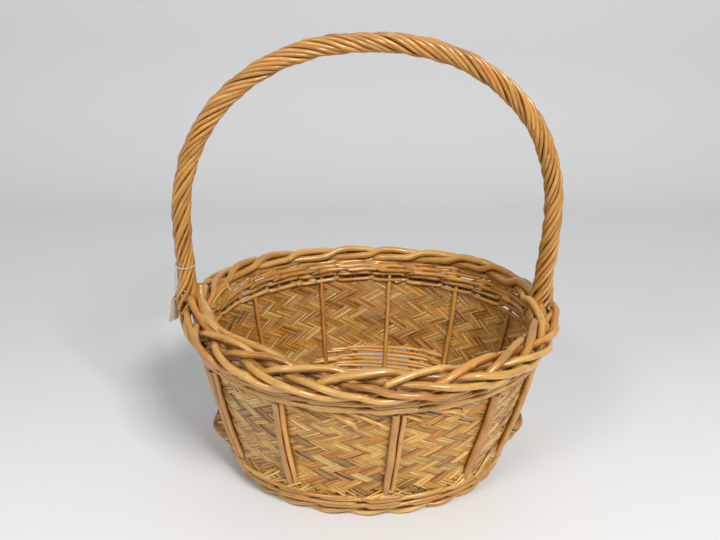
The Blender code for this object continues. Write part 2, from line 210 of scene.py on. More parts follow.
def link(obj):
    bpy.context.scene.collection.objects.link(obj)


def tangents(points):
    return unit(np.gradient(points, axis=0))


def wander(rng, lengths, wavelength):
    """Smooth random curve along a length, between -1 and 1."""
    count = int(lengths[-1] / wavelength) + 3
    knots = rng.uniform(-1, 1, count)
    at = lengths / wavelength
    low = at.astype(int)
    part = smooth_step(at - low)
    return knots[low] * (1 - part) + knots[low + 1] * part


KNOT_LENGTH = 0.0022
END_STAIN = 0.004
SHARP_FROM = math.radians(48)


class Bundle:
    """Rods gathered into one mesh. Each vertex keeps its place in its own straight rod, as grain
    coordinates, and its rod's look: tone, warmth, and how far it is a knot, a tip or a cut face; a mark below
    zero is painted shade."""

    def __init__(self):
        self.verts, self.grain, self.look, self.loops, self.sizes = [], [], [], [], []
        self.count = 0

    def add(self, verts, grain, look, quads, caps):
        self.verts.append(verts)
        self.grain.append(grain)
        self.look.append(look)
        self.loops.append(quads.ravel() + self.count)
        self.sizes.append(np.full(len(quads), quads.shape[1]))
        for cap in caps:
            self.loops.append(np.asarray(cap) + self.count)
            self.sizes.append(np.array([len(cap)]))
        self.count += len(verts)

    def tube(self, points, first_half, second_half, guide, sides, tone, warmth, mark, seed, slants=(0, 0),
             facing=None, edge_painted_shade=0.0):
        """A rod along points; guide gives the direction of the section's first half size. What turns
        away from facing, or lies along a splint's edges, is painted darker, as a mark below zero: painted
        shade in the grooves between rods and the gaps between splints."""
        n = len(points)
        along = tangents(points)
        guide = np.broadcast_to(guide, points.shape)
        first = unit(guide - along * (guide * along).sum(1, keepdims=True))
        second = np.cross(along, first)
        turn = FULL_TURN * (np.arange(sides) + 0.5) / sides
        a = np.broadcast_to(first_half, n)[:, None] * np.cos(turn)
        b = np.broadcast_to(second_half, n)[:, None] * np.sin(turn)
        ring = points[:, None] + first[:, None] * a[..., None] + second[:, None] * b[..., None]
        ring[0] += along[0] * (slants[0] * a[0])[:, None]
        ring[-1] += along[-1] * (slants[1] * a[-1])[:, None]
        s = lengths_along(points)
        grain = np.stack(np.broadcast_arrays(s[:, None] + seed, a + seed * 3.1, b - seed * 1.7), -1)
        # Painted shade: a splint's thin edges, or the side of a rod turned away from facing, are darkened as
        # the gaps and grooves between rods and splints would be in shade.
        stain_and_painted_shade = edge_painted_shade * np.abs(np.sin(turn)) ** 4 + 0 * a
        if facing is not None:
            facing = np.broadcast_to(facing, points.shape)
            seen = (first * facing).sum(1)[:, None] * np.cos(turn)
            seen = seen + (second * facing).sum(1)[:, None] * np.sin(turn)
            stain_and_painted_shade = smooth_step((0.30 - seen) / 0.75)
        mark = np.broadcast_to(mark, n)[:, None]
        look = np.stack(np.broadcast_arrays(tone, warmth, mark - stain_and_painted_shade * (1 - mark)), -1)
        ends = []
        for row, sign in ((0, -1), (-1, 1)):
            middle = ring[row].mean(0)
            inner = middle + (ring[row] - middle) * 0.78 + sign * along[row] * 0.12 * np.ptp(a[row])
            ends.append(inner)
        verts = np.concatenate((ring.reshape(-1, 3), *ends))
        grains = np.concatenate((grain.reshape(-1, 3), grain[0], grain[-1]))
        cut = look[0].copy()
        cut[:, 2] = 2.0
        looks = np.concatenate((look.reshape(-1, 3), cut, cut))
        k = np.arange(sides)
        following = (k + 1) % sides
        rows = np.arange(n - 1)[:, None] * sides
        quads = np.stack((rows + k, rows + following, rows + sides + following, rows + sides + k), -1)
        start, end = n * sides, (n + 1) * sides
        last = (n - 1) * sides
        low = np.stack((start + k, start + following, following, k), -1)
        high = np.stack((last + k, last + following, end + following, end + k), -1)
        quads = np.concatenate((quads.reshape(-1, 4), low, high))
        caps = [(start + k)[::-1], end + k]
        self.add(verts, grains, looks, quads, caps)

    def willow(self, rng, points, butt, tip, sides, tone, guide=UP, slants=None, knots=0.055,
               wobble=0.0004, facing=None):
        """A natural rod: it tapers, wanders a little, swells at its knots and has cut ends.
        knots is their usual distance."""
        s = lengths_along(points)
        taper = butt + (tip - butt) * (s / s[-1])
        radius = taper * (1 + 0.05 * wander(rng, s, 0.022))
        mark = np.zeros(len(points))
        at = rng.uniform(0, knots)
        while at < s[-1]:
            swell = np.exp(-((s - at) / KNOT_LENGTH) ** 2)
            radius = radius * (1 + rng.uniform(0.03, 0.12) * swell)
            mark = np.maximum(mark, swell * rng.uniform(0.2, 1.0))
            at += rng.uniform(0.4, 1.8) * knots
        along = tangents(points)
        side = unit(np.cross(along, UP + 0.3 * AWAY))
        other = np.cross(along, side)
        fade = np.minimum(1, np.minimum(s, s[-1] - s) / 0.01)[:, None]
        points = points + fade * wobble * (side * wander(rng, s, 0.019)[:, None]
                                           + other * wander(rng, s, 0.016)[:, None])
        warmth = rng.uniform(0, 1)
        end_mark = 0.8 * (np.exp(-s / END_STAIN) + np.exp(-(s[-1] - s) / END_STAIN)) * rng.uniform(0.2, 1)
        slants = rng.uniform(-0.9, 0.9, 2) if slants is None else slants
        self.tube(points, radius, radius, guide, sides, tone, warmth,
                  np.clip(mark * 0.6 + end_mark, 0, 1), rng.uniform(0, 40), slants, facing)

    def piece(self, name, material, body, node):
        """The finished mesh as a piece that stands for its CAD node."""
        mesh = bpy.data.meshes.new(name)
        verts = np.concatenate(self.verts)
        loops = np.concatenate(self.loops).astype(np.int32)
        sizes = np.concatenate(self.sizes)
        mesh.vertices.add(len(verts))
        mesh.vertices.foreach_set("co", verts.astype(np.float32).ravel())
        mesh.loops.add(len(loops))
        mesh.loops.foreach_set("vertex_index", loops)
        mesh.polygons.add(len(sizes))
        starts = np.concatenate(([0], np.cumsum(sizes)[:-1])).astype(np.int32)
        mesh.polygons.foreach_set("loop_start", starts)
        mesh.update(calc_edges=True)
        mesh.validate()
        for attribute, rows in (("grain", self.grain), ("look", self.look)):
            layer = mesh.attributes.new(attribute, "FLOAT_VECTOR", "POINT")
            layer.data.foreach_set("vector", np.concatenate(rows).astype(np.float32).ravel())
        mesh.shade_smooth()
        mesh.set_sharp_from_angle(angle=SHARP_FROM)
        mesh.materials.append(material)
        obj = bpy.data.objects.new(name, mesh)
        link(obj)
        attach(obj, body)
        if node:
            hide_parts(*([node] if isinstance(node, str) else node))
        return obj


def finish_strands(bundles, prefix, material, first=1):
    """The bundles as pieces that stand for the numbered strands of one CAD sub-part."""
    for number, bundle in enumerate(bundles, start=first):
        name = f"{prefix}_{number}"
        bundle.piece(name + "_rods", material, "basket", name)


# ---------------------------------------------------------------- materials

class Nodes:
    """A short way to wire a node material."""

    def __init__(self, name):
        self.material = bpy.data.materials.new(name)
        self.material.use_nodes = True
        self.tree = self.material.node_tree
        self.shader = self.tree.nodes["Principled BSDF"]

    def node(self, kind, settings=(), **inputs):
        made = self.tree.nodes.new(kind)
        for key, value in dict(settings).items():
            setattr(made, key, value)
        for key, value in inputs.items():
            self.put(made.inputs[key.replace("_", " ")], value)
        return made

    def put(self, socket, value):
        if isinstance(value, bpy.types.NodeSocket):
            self.tree.links.new(value, socket)
        else:
            socket.default_value = value

    def attribute(self, name):
        return self.node("ShaderNodeAttribute", {"attribute_name": name})

    def noise(self, vector, scale, detail=3.0, roughness=0.55):
        made = self.node("ShaderNodeTexNoise", Scale=scale, Detail=detail, Roughness=roughness)
        self.put(made.inputs["Vector"], vector)
        return made.outputs["Fac"]

    def stretched(self, vector, scale):
        made = self.node("ShaderNodeMapping")
        self.put(made.inputs["Vector"], vector)
        made.inputs["Scale"].default_value = scale
        return made.outputs["Vector"]

    def ramp(self, value, stops, interpolation="LINEAR"):
        made = self.node("ShaderNodeValToRGB")
        made.color_ramp.interpolation = interpolation
        elements = made.color_ramp.elements
        while len(elements) < len(stops):
            elements.new(0.5)
        for element, (place, colour) in zip(elements, stops):
            element.position = place
            element.color = (*colour, 1) if len(colour) == 3 else colour
        self.put(made.inputs["Fac"], value)
        return made.outputs["Color"]

    def span(self, value, low, high, to_low=0.0, to_high=1.0):
        made = self.node("ShaderNodeMapRange")
        for key, number in (("From Min", low), ("From Max", high), ("To Min", to_low), ("To Max", to_high)):
            made.inputs[key].default_value = number
        self.put(made.inputs["Value"], value)
        return made.outputs["Result"]

    def math(self, operation, a, b):
        made = self.node("ShaderNodeMath", {"operation": operation})
        self.put(made.inputs[0], a)
        self.put(made.inputs[1], b)
        return made.outputs["Value"]

    def mix(self, factor, a, b, blend="MIX"):
        made = self.node("ShaderNodeMix", {"data_type": "RGBA", "blend_type": blend})
        self.put(made.inputs["Factor"], factor)
        self.put(made.inputs[6], a)
        self.put(made.inputs[7], b)
        return made.outputs[2]

    def stained(self, colour, stain_and_painted_shade):
        return self.mix(1.0, colour, stain_and_painted_shade, "MULTIPLY")

    def over(self, colour, top, mask, low, high, least, most):
        """The colour with another laid over it, by least to most as the mask goes from low to high."""
        return self.mix(self.span(mask, low, high, least, most), colour, top)

    def surface(self, colour, mask, smoothest, roughest, coat=None, coat_roughness=None):
        """The shader's colour, its roughness by a mask, and its varnish if it has one."""
        self.put(self.shader.inputs["Base Color"], colour)
        self.put(self.shader.inputs["Roughness"], self.span(mask, 0.3, 0.7, smoothest, roughest))
        if coat is not None:
            self.shader.inputs["Coat Weight"].default_value = coat
            self.shader.inputs["Coat Roughness"].default_value = coat_roughness

    def bump(self, height, strength, distance):
        made = self.node("ShaderNodeBump", Strength=strength, Distance=distance)
        self.put(made.inputs["Height"], height)
        self.put(self.shader.inputs["Normal"], made.outputs["Normal"])


def look_parts(w):
    """Grain coordinates of the rod, and its tone, warmth and mark; a mark below zero is painted shade."""
    look = w.node("ShaderNodeSeparateXYZ")
    w.put(look.inputs[0], w.attribute("look").outputs["Vector"])
    return (w.attribute("grain").outputs["Vector"], *look.outputs)


def total(w, *values):
    result = values[0]
    for value in values[1:]:
        result = w.math("ADD", result, value)
    return result


def willow_material(name, coat, rough):
    """Varnished willow: streaks along the rod, mottled staining, dark knots, pale cut faces, and painted
    shade in the grooves between rods.
    """
    w = Nodes(name)
    grain, tone, warmth, mark = look_parts(w)
    streak = w.noise(w.stretched(grain, (24, 560, 560)), 1.0, 4.0, 0.6)
    blotch = w.noise(w.stretched(grain, (34, 110, 110)), 1.0, 3.0, 0.6)
    fine = w.noise(w.stretched(grain, (70, 2200, 2200)), 1.0, 3.0, 0.6)
    speck = w.noise(w.stretched(grain, (300, 800, 800)), 1.0, 2.0, 0.5)
    scuff = w.noise(w.stretched(grain, (95, 330, 330)), 1.0, 4.0, 0.65)
    base = total(w, w.span(tone, -1, 1, -0.08, 0.72), w.span(streak, 0.25, 0.75, -0.17, 0.17),
                 w.span(blotch, 0.25, 0.75, -0.18, 0.18))
    colour = w.ramp(base, WILLOW_TONES)
    colour = w.over(colour, w.stained(colour, WARM_STAIN), warmth, 0.30, 1.0, 0.0, 0.8)
    colour = w.over(colour, WORN_WILLOW, scuff, 0.60, 0.72, 0.0, 0.35)
    colour = w.over(colour, w.stained(colour, FIBRE_STAIN), fine, 0.54, 0.72, 0.0, 0.50)
    colour = w.over(colour, SPECK, speck, 0.66, 0.74, 0.0, 0.75)
    # Painted shade: below zero the mark darkens the rod, as the grooves between rods would be in shade.
    colour = w.over(colour, w.stained(colour, GROOVE_PAINTED_SHADE), mark, -1.0, 0.0, 0.85, 0.0)
    knot = w.math("MULTIPLY", w.span(mark, 0.2, 0.9, 0.0, 1.0), w.span(blotch, 0.35, 0.60, 0.35, 1.0))
    colour = w.mix(knot, colour, KNOT_BROWN)
    ring = w.noise(w.stretched(grain, (1, 1500, 1500)), 1.0, 2.0)
    colour = w.over(colour, w.ramp(ring, CUT_FACE_TONES), mark, 1.25, 1.9, 0.0, 1.0)
    w.surface(colour, scuff, rough - 0.08, rough + 0.14, coat, 0.13)
    w.bump(total(w, w.math("MULTIPLY", fine, 0.5), w.math("MULTIPLY", streak, 1.0)), 0.45, 0.0008)
    return w.material


def bamboo_material(name, coat):
    """Split bamboo: each splint has its own tone, with fibres along it, dark spots and tips, and painted
    shade along its edges where the splints meet.
    """
    w = Nodes(name)
    grain, tone, warmth, mark = look_parts(w)
    fibre = w.noise(w.stretched(grain, (30, 2600, 2600)), 1.0, 3.0, 0.6)
    blotch = w.noise(w.stretched(grain, (60, 170, 170)), 1.0, 3.0, 0.6)
    base = total(w, tone, w.span(fibre, 0.25, 0.75, -0.21, 0.21), w.span(blotch, 0.3, 0.7, -0.17, 0.17))
    colour = w.ramp(base, BAMBOO_TONES)
    colour = w.over(colour, w.stained(colour, GREYED_STAIN), warmth, 0.80, 1.0, 0.0, 0.7)
    colour = w.over(colour, w.stained(colour, WARM_SPLINT_STAIN), warmth, 0.0, 0.50, 0.9, 0.0)
    # Painted shade: below zero the mark darkens the splint's edges, as the gaps between splints would be in
    # shade.
    colour = w.over(colour, w.stained(colour, SPLINT_GAP_PAINTED_SHADE), mark, -1.0, 0.0, 0.85, 0.0)
    spots = w.noise(w.stretched(grain, (140, 420, 420)), 1.0, 3.0)
    colour = w.over(colour, SPOT_BROWN, spots, 0.62, 0.74, 0.0, 0.55)
    colour = w.over(colour, TIP_BROWN, mark, 0.2, 1.0, 0.0, 0.75)
    w.surface(colour, fibre, 0.30, 0.50, coat, 0.18)
    w.bump(fibre, 0.5, 0.0005)
    return w.material


def thread_material(name):
    """Undyed cotton, fluffy and a little grey with handling."""
    w = Nodes(name)
    grain, tone, _, _ = look_parts(w)
    fluff = w.noise(w.stretched(grain, (1800, 5200, 5200)), 1.0, 3.0)
    shade = total(w, tone, w.span(fluff, 0.3, 0.7, -0.3, 0.3))
    colour = w.ramp(shade, [(0.1, (0.44, 0.42, 0.38)), (0.9, (0.68, 0.66, 0.62))])
    w.surface(colour, fluff, 0.78, 0.95)
    w.shader.inputs["Sheen Weight"].default_value = 0.25
    w.bump(fluff, 0.5, 0.0002)
    return w.material


def card_material(name):
    """Grey-brown board with fibres through it, and a paler cut edge."""
    w = Nodes(name)
    grain, _, _, mark = look_parts(w)
    fibres = w.noise(w.stretched(grain, (900, 300, 900)), 1.0, 4.0, 0.65)
    cloud = w.noise(w.stretched(grain, (110, 110, 110)), 1.0, 3.0)
    shade = total(w, w.span(fibres, 0.25, 0.75, 0.0, 0.6), w.span(cloud, 0.3, 0.7, 0.0, 0.4))
    colour = w.ramp(shade, [(0.2, (0.56, 0.50, 0.43)), (0.8, (0.72, 0.66, 0.58))])
    colour = w.over(colour, CARD_EDGE, mark, 0.6, 1.0, 0.0, 0.5)
    w.surface(colour, fibres, 0.70, 0.86)
    w.bump(fibres, 0.35, 0.0003)
    return w.material


WILLOW_TONES = [
    (0.00, (0.170, 0.062, 0.010)), (0.22, (0.345, 0.148, 0.024)), (0.48, (0.510, 0.256, 0.050)),
    (0.74, (0.650, 0.368, 0.092)), (1.00, (0.790, 0.520, 0.180))]
CUT_FACE_TONES = [(0.3, (0.36, 0.19, 0.065)), (0.7, (0.66, 0.45, 0.21))]
WARM_STAIN = (1.0, 0.75, 0.45, 1)
FIBRE_STAIN = (0.46, 0.28, 0.14, 1)
# Painted shade colour for the grooves between willow rods.
GROOVE_PAINTED_SHADE = (0.36, 0.22, 0.12, 1)
WORN_WILLOW = (0.72, 0.46, 0.17, 1)
SPECK = (0.070, 0.024, 0.007, 1)
KNOT_BROWN = (0.160, 0.045, 0.011, 1)
# Painted shade colour for the gaps between bamboo splints.
SPLINT_GAP_PAINTED_SHADE = (0.22, 0.11, 0.05, 1)
GREYED_STAIN = (0.84, 0.96, 1.20, 1)
WARM_SPLINT_STAIN = (1.10, 0.86, 0.50, 1)
SPOT_BROWN = (0.120, 0.045, 0.012, 1)
TIP_BROWN = (0.090, 0.036, 0.010, 1)
CARD_EDGE = (0.78, 0.73, 0.66, 1)
BAMBOO_TONES = [
    (0.00, (0.090, 0.034, 0.007)), (0.14, (0.250, 0.104, 0.017)), (0.34, (0.450, 0.208, 0.032)),
    (0.58, (0.620, 0.315, 0.052)), (0.80, (0.770, 0.455, 0.105)), (1.00, (0.880, 0.640, 0.250))]
thick_willow = willow_material("thick_willow", 0.60, 0.36)
thin_willow = willow_material("thin_willow", 0.60, 0.36)
split_bamboo = bamboo_material("split_bamboo", 0.40)
cotton_thread = thread_material("cotton_thread")
card_paper = card_material("card_paper")

# ---------------------------------------------------------------- stakes


OUTER_FOOT_Z, LINER_FOOT_Z = 0.0105, 0.0125
OUTER_TOP_Z, INNER_TOP_Z = 0.176, 0.178
TUCK_LENGTH = 0.009
OUTER_CLEAR, INNER_CLEAR = 0.0010, 0.0012


def upright(angle, out, low_z, high_z, lean):
    """Course of a stake up the wall: it turns in behind the woven rounds at both ends."""
    z = np.arange(low_z, high_z, 0.0035)
    tuck = smooth_step((MAT_BOTTOM_Z - 0.001 - z) / TUCK_LENGTH)
    tuck += smooth_step((z - MAT_TOP_Z - 0.001) / TUCK_LENGTH)
    side = math.copysign(1, out)
    reach = out + (side * STAKE_OFFSET - out) * np.clip(tuck, 0, 1)
    return wall(angle + lean * (z - low_z), reach, z)


def make_outer_stakes():
    """Each outer upright is a thick stake with a thinner liner pushed in beside it."""
    for number, (name, angle) in enumerate(OUTER_ANGLES.items()):
        rng = np.random.default_rng(100 + number)
        bundle = Bundle()
        lean = rng.uniform(-0.10, 0.10)
        radius = rng.uniform(0.0036, 0.0040)
        points = upright(angle, OUTER_CLEAR + radius, OUTER_FOOT_Z, OUTER_TOP_Z, lean)
        # Painted shade falls on the stakes' sides turned in against the weave.
        facing = outward(angle)
        bundle.willow(rng, points, radius, radius * 0.93, 12, rng.uniform(0.15, 0.75), facing=facing)
        half = wall_half(0.09)
        pace = math.hypot(half[0] * math.sin(angle), half[1] * math.cos(angle))
        thin = rng.uniform(0.0023, 0.0029)
        beside = (radius + thin + rng.uniform(-0.0002, 0.0010)) / pace
        lean += rng.uniform(-0.1, 0.05)
        points = upright(angle + beside, OUTER_CLEAR + thin, LINER_FOOT_Z, OUTER_TOP_Z, lean)
        bundle.willow(rng, points, thin, thin * 0.9, 10, rng.uniform(0.3, 0.95), facing=facing)
        bundle.piece(name + "_pair", thick_willow, "basket", name)


def make_inner_stakes():
    for number, (name, angle) in enumerate(INNER_ANGLES.items()):
        rng = np.random.default_rng(200 + number)
        bundle = Bundle()
        radius = rng.uniform(0.0023, 0.0028)
        lean = rng.uniform(-0.08, 0.08)
        points = upright(angle, -INNER_CLEAR - radius, LINER_FOOT_Z, INNER_TOP_Z, lean)
        # Painted shade falls on the rod's side turned out against the weave.
        bundle.willow(rng, points, radius, radius * 0.9, 10, rng.uniform(0.2, 0.7), facing=-outward(angle))
        bundle.piece(name + "_rod", thin_willow, "basket", name)


# ---------------------------------------------------------------- woven rounds

def station_place(angle):
    """Where an angle lies in the row of uprights, as a number that grows by one at each."""
    turns = np.floor(angle / FULL_TURN)
    row = np.array([*STATIONS, FULL_TURN + STATIONS[0]])
    return turns * len(STATIONS) + np.interp(angle - turns * FULL_TURN, row, np.arange(len(row)))


# A rough radius of the wall, which turns angles into lengths, and the overlap of two rods.
ROUND_PACE = 0.175
ROD_OVERLAP = 0.20


def make_round(prefix, first, z, radius, seed, climb, in_reach, out_reach):
    """A waling round: three rods, each outside two uprights and inside the next, climbing as they go.

    The two CAD rods of the round are stood for by the three rods here, which are made of
    lengths whose tips overlap."""
    rng = np.random.default_rng(seed)
    bundles = [Bundle(), Bundle()]
    for strand in range(3):
        start = rng.uniform(0, FULL_TURN)
        end = start + FULL_TURN
        at = start
        while at < end:
            span = min(rng.uniform(1.5, 2.4), end + 0.22 - at)
            count = int(span * ROUND_PACE / 0.0030)
            angle = np.linspace(at, at + span, count)
            place = station_place(angle) + strand
            phase = (place % 3) / 3
            swing = np.cos(FULL_TURN * phase)
            inside = smooth_step((swing - 0.05) / 0.75)
            out = out_reach + (-in_reach - out_reach) * inside
            rise = climb * np.where(phase < 0.5, -1, 1) * (1 - np.abs(np.abs(phase - 0.5) - 0.25) * 4) \
                + climb * 0.6 * (2 * phase - 1) * (1 - inside)
            fade = smooth_step((angle - at) / 0.10) * smooth_step((at + span - angle) / 0.10)
            out = out * fade - (in_reach + 0.001) * (1 - fade)
            points = wall(angle, out, z + rise)
            butt = radius * rng.uniform(1.02, 1.2)
            # Painted shade falls on each rod's side turned towards the uprights.
            facing = outward(angle) * np.sign(out)[:, None]
            bundles[strand % 2].willow(rng, points, butt, butt * 0.72, 8, rng.uniform(0.25, 1.0),
                                       facing=facing)
            at += span - ROD_OVERLAP
    finish_strands(bundles, prefix, thin_willow, first)


# ---------------------------------------------------------------- foot

FOOT_TURNS = 11
FOOT_Z = 0.0052
FOOT_OUT = 0.0022
FOOT_SWING_OUT, FOOT_SWING_UP = 0.0040, 0.0024
FOOT_LENGTHS = 5


def make_foot():
    """A rope of two thick rods under the wall; each strand is made of lengths laid end to end."""
    line = wall_half(FOOT_Z)
    for strand in range(2):
        rng = np.random.default_rng(300 + strand)
        bundle = Bundle()
        joints = np.linspace(0, FULL_TURN, FOOT_LENGTHS + 1) + rng.uniform(0, 0.4)
        for begin, end in zip(joints, joints[1:]):
            angle = np.arange(begin - 0.06, end + 0.05, 0.018)
            twist = FOOT_TURNS * angle + math.pi / 2 + strand * math.pi
            out = FOOT_OUT + FOOT_SWING_OUT * np.cos(twist)
            rise = FOOT_SWING_UP * np.sin(twist)
            points = oval(line, angle, out, FOOT_Z + rise + 0.0004)
            radius = rng.uniform(0.0029, 0.0033)
            points[:, 2] = np.maximum(points[:, 2], radius + 0.0001)
            bundle.willow(rng, points, radius, radius * 0.82, 10, rng.uniform(0.3, 0.95), wobble=0.0001)
        name = f"foot_strand_{strand + 1}"
        obj = bundle.piece(name + "_rods", thick_willow, "basket", name)
        for vert in obj.data.vertices:
            vert.co.z = max(vert.co.z, 0.0)


# ---------------------------------------------------------------- plaited border

BORDER_LINE = np.array((0.1835, 0.1595))
BORDER_Z = 0.1842
BORDER_REPEATS = 21
BORDER_STRANDS = 5
BORDER_PHASE = 0.25
BORDER_SPREAD = 0.0130
BORDER_RISE = 0.0046
BORDER_CREST = 2.2
BORDER_TILT = math.radians(30)
BORDER_PACE = 0.16
BUTT_LIFT, TIP_SINK = 0.0013, 0.0040
LEG_ANGLES = {1: 0.0, -1: math.pi}
LEG_ROOM = {1: (0.0040, 0.0040), -1: (-0.0040, 0.0030)}
LEG_ROOM_REACH = 0.028
RIM_LIFT = 0.0068


def rim_lift(angle):
    """The rim climbs towards the handle's legs along its far side."""
    along_x, along_y = np.abs(np.cos(angle)), np.sin(angle)
    return RIM_LIFT * smooth_step((along_x - 0.25) / 0.6) * smooth_step((along_y + 0.25) / 0.5)


def border_points(u, theta, extra_rise):
    """Course of a plait rod: u counts the repeats round the rim, theta is its place in the plait.
    Beside the handle's legs the rods part and go round them."""
    angle = FULL_TURN * (u - BORDER_PHASE) / BORDER_REPEATS
    across = BORDER_SPREAD * np.sin(theta)
    rise = BORDER_RISE * np.tanh(BORDER_CREST * np.sin(2 * theta)) / math.tanh(BORDER_CREST) + extra_rise
    for side, at in LEG_ANGLES.items():
        apart = np.abs((angle - at + math.pi) % FULL_TURN - math.pi) * BORDER_PACE
        inner_room, outer_room = LEG_ROOM[side]
        room = np.where(across > 0, inner_room, outer_room) * smooth_step(1 - apart / LEG_ROOM_REACH)
        across = across + room * np.tanh(across / 0.003)
    out = -across * math.cos(BORDER_TILT) + rise * math.sin(BORDER_TILT)
    z = BORDER_Z + rim_lift(angle) + across * math.sin(BORDER_TILT) + rise * math.cos(BORDER_TILT)
    return oval(BORDER_LINE, angle, out, z)


def border_core(u):
    """A line low in the middle of the plait, which its rods lie round."""
    angle = FULL_TURN * (u - BORDER_PHASE) / BORDER_REPEATS
    return oval(BORDER_LINE, angle, 0.0, BORDER_Z + rim_lift(angle) - BORDER_RISE)


def make_border():
    """A plait of five strands; each repeat lays in a new rod, whose cut butt shows at the middle."""
    bundles = [Bundle() for _ in range(3)]
    rng = np.random.default_rng(400)
    for k in range(BORDER_REPEATS):
        start = rng.uniform(-0.50, 0.02)
        end = FULL_TURN + rng.uniform(0.0, 0.45)
        theta = np.linspace(start, end, 110)
        u = k + BORDER_STRANDS * theta / FULL_TURN
        lifted = smooth_step((0.8 - (theta - start)) / 0.8)
        sunk = smooth_step((theta - end + 1.0) / 1.0)
        points = border_points(u, theta, BUTT_LIFT * lifted - TIP_SINK * sunk)
        radius = rng.uniform(0.0038, 0.0045)
        # Painted shade falls on the sides of the plait's rods turned in towards its core.
        facing = points - border_core(u)
        facing /= np.maximum(np.linalg.norm(facing, axis=1, keepdims=True), 0.006)
        bundles[k % 3].willow(rng, points, radius, radius * 0.80, 12, rng.uniform(0.05, 0.95), knots=0.06,
                              wobble=0.0007, facing=facing)
    finish_strands(bundles, "border_strand", thick_willow)


# Rods laid in last beside the legs, each as its radius and its points from one end to the other:
# two over the border at the left leg, one at the right, then one outside each leg, left and right.
SWEEPING_RODS = (
    (0.0042, ((-0.1772, 0.0075, 0.2110), (-0.1758, -0.0010, 0.1995), (-0.1719, -0.0180, 0.1950),
              (-0.1634, -0.0395, 0.1932), (-0.1490, -0.0640, 0.1925), (-0.1291, -0.0812, 0.1912),
              (-0.1071, -0.0958, 0.1892), (-0.0850, -0.1080, 0.1835))),
    (0.0038, ((-0.1862, -0.0085, 0.2035), (-0.1821, -0.0167, 0.1975), (-0.1756, -0.0300, 0.1925),
              (-0.1652, -0.0511, 0.1900), (-0.1473, -0.0731, 0.1870), (-0.1290, -0.0890, 0.1800))),
    (0.0038, ((0.1600, 0.0980, 0.1860), (0.1690, 0.0800, 0.1880), (0.1790, 0.0480, 0.1895),
              (0.1815, 0.0180, 0.1905), (0.1850, -0.0060, 0.1890), (0.1880, -0.0270, 0.1850),
              (0.1850, -0.0480, 0.1790), (0.1770, -0.0660, 0.1710), (0.1640, -0.0820, 0.1640))),
    (0.0036, ((-0.1860, 0.0140, 0.1770), (-0.1905, 0.0010, 0.1830), (-0.1895, -0.0130, 0.1865),
              (-0.1830, -0.0390, 0.1855), (-0.1750, -0.0639, 0.1820), (-0.1630, -0.0857, 0.1760),
              (-0.1480, -0.0980, 0.1690))),
    (0.0042, ((0.1900, 0.0560, 0.1700), (0.1995, 0.0350, 0.1790), (0.2040, 0.0140, 0.1850),
              (0.2045, -0.0050, 0.1880), (0.1995, -0.0240, 0.1870), (0.1905, -0.0470, 0.1830),
              (0.1747, -0.0708, 0.1770))),
)
HOOK_COURSE = ((-0.1730, 0.0060, 0.1840), (-0.1690, 0.0170, 0.1870), (-0.1620, 0.0350, 0.1920),
               (-0.1550, 0.0460, 0.1945), (-0.1515, 0.0450, 0.1890), (-0.1550, 0.0430, 0.1790),
               (-0.1620, 0.0420, 0.1690))
HOOK_RODS = 5
HOOK_STEP = np.array((-0.0010, 0.0012, 0.0020))


def make_sweeping_rods():
    """Thick rods that lean on the legs with rounded butts, and thin ones turned over inside the left leg."""
    rng = np.random.default_rng(430)
    bundle = Bundle()
    for radius, course in SWEEPING_RODS:
        bundle.willow(rng, curve_through(course, 0.003), radius, radius * 0.85, 12, rng.uniform(0.25, 0.55),
                      slants=(0.1, 0.5))
    for rod in range(HOOK_RODS):
        course = np.array(HOOK_COURSE) + HOOK_STEP * (rod - (HOOK_RODS - 1) / 2)
        bundle.willow(rng, curve_through(course, 0.002), 0.0015, 0.0012, 8, rng.uniform(0.2, 1.0),
                      wobble=0.0002)
    bundle.piece("border_sweeping_rods", thick_willow, "basket", None)


# Rows of trimmed ends: height, shift along the gap between uprights, depth inside the wall,
# and how far the row follows the rim's climb.
TRIMMED_ROWS = ((0.1710, 0.0, -0.0072, 0.30), (0.1748, 0.25, -0.0056, 0.58), (0.1784, 0.5, -0.0036, 0.85))


def make_trimmed_ends():
    """The border stakes' ends, cut off inside the rim: each lies from its upright past the next."""
    rng = np.random.default_rng(450)
    bundle = Bundle()
    row = [*STATIONS, *(s + FULL_TURN for s in STATIONS[:3])]
    for level, offset, depth, follow in TRIMMED_ROWS:
        for here, following in zip(row[:len(STATIONS)], row[1:]):
            gap = following - here
            begin = here + (offset - 0.25) * gap
            angle = np.linspace(begin, begin + (1.25 + rng.uniform(0.10, 0.35)) * gap, 26)
            part = (angle - begin) / gap - 0.25
            out = 0.0006 + (depth - 0.0006) * smooth_step((part + 0.2) / 0.4)
            out = out - 0.0018 * smooth_step((part - 0.7) / 0.4)
            z = level + 0.0036 * (1 - smooth_step((part + 0.25) / 0.6)) - 0.0014 * part
            z = z + follow * rim_lift(angle)
            radius = rng.uniform(0.0027, 0.0033)
            bundle.willow(rng, wall(angle, out, z), radius * 0.85, radius, 10, rng.uniform(0.2, 0.8),
                          slants=(0.0, rng.choice((-2.2, 2.2))))
    for here in STATIONS:
        stub = rng.uniform(0.0020, 0.0027)
        beside = here + rng.uniform(0.015, 0.03)
        levels = np.linspace(0.166, 0.1815 + 0.8 * rim_lift(beside) + rng.uniform(-0.001, 0.001), 8)
        bundle.willow(rng, wall(beside, -0.0030, levels), stub, stub, 8, rng.uniform(0.2, 0.7))
    bundle.piece("border_trimmed_ends", thick_willow, "basket", None)


# ---------------------------------------------------------------- bamboo matting

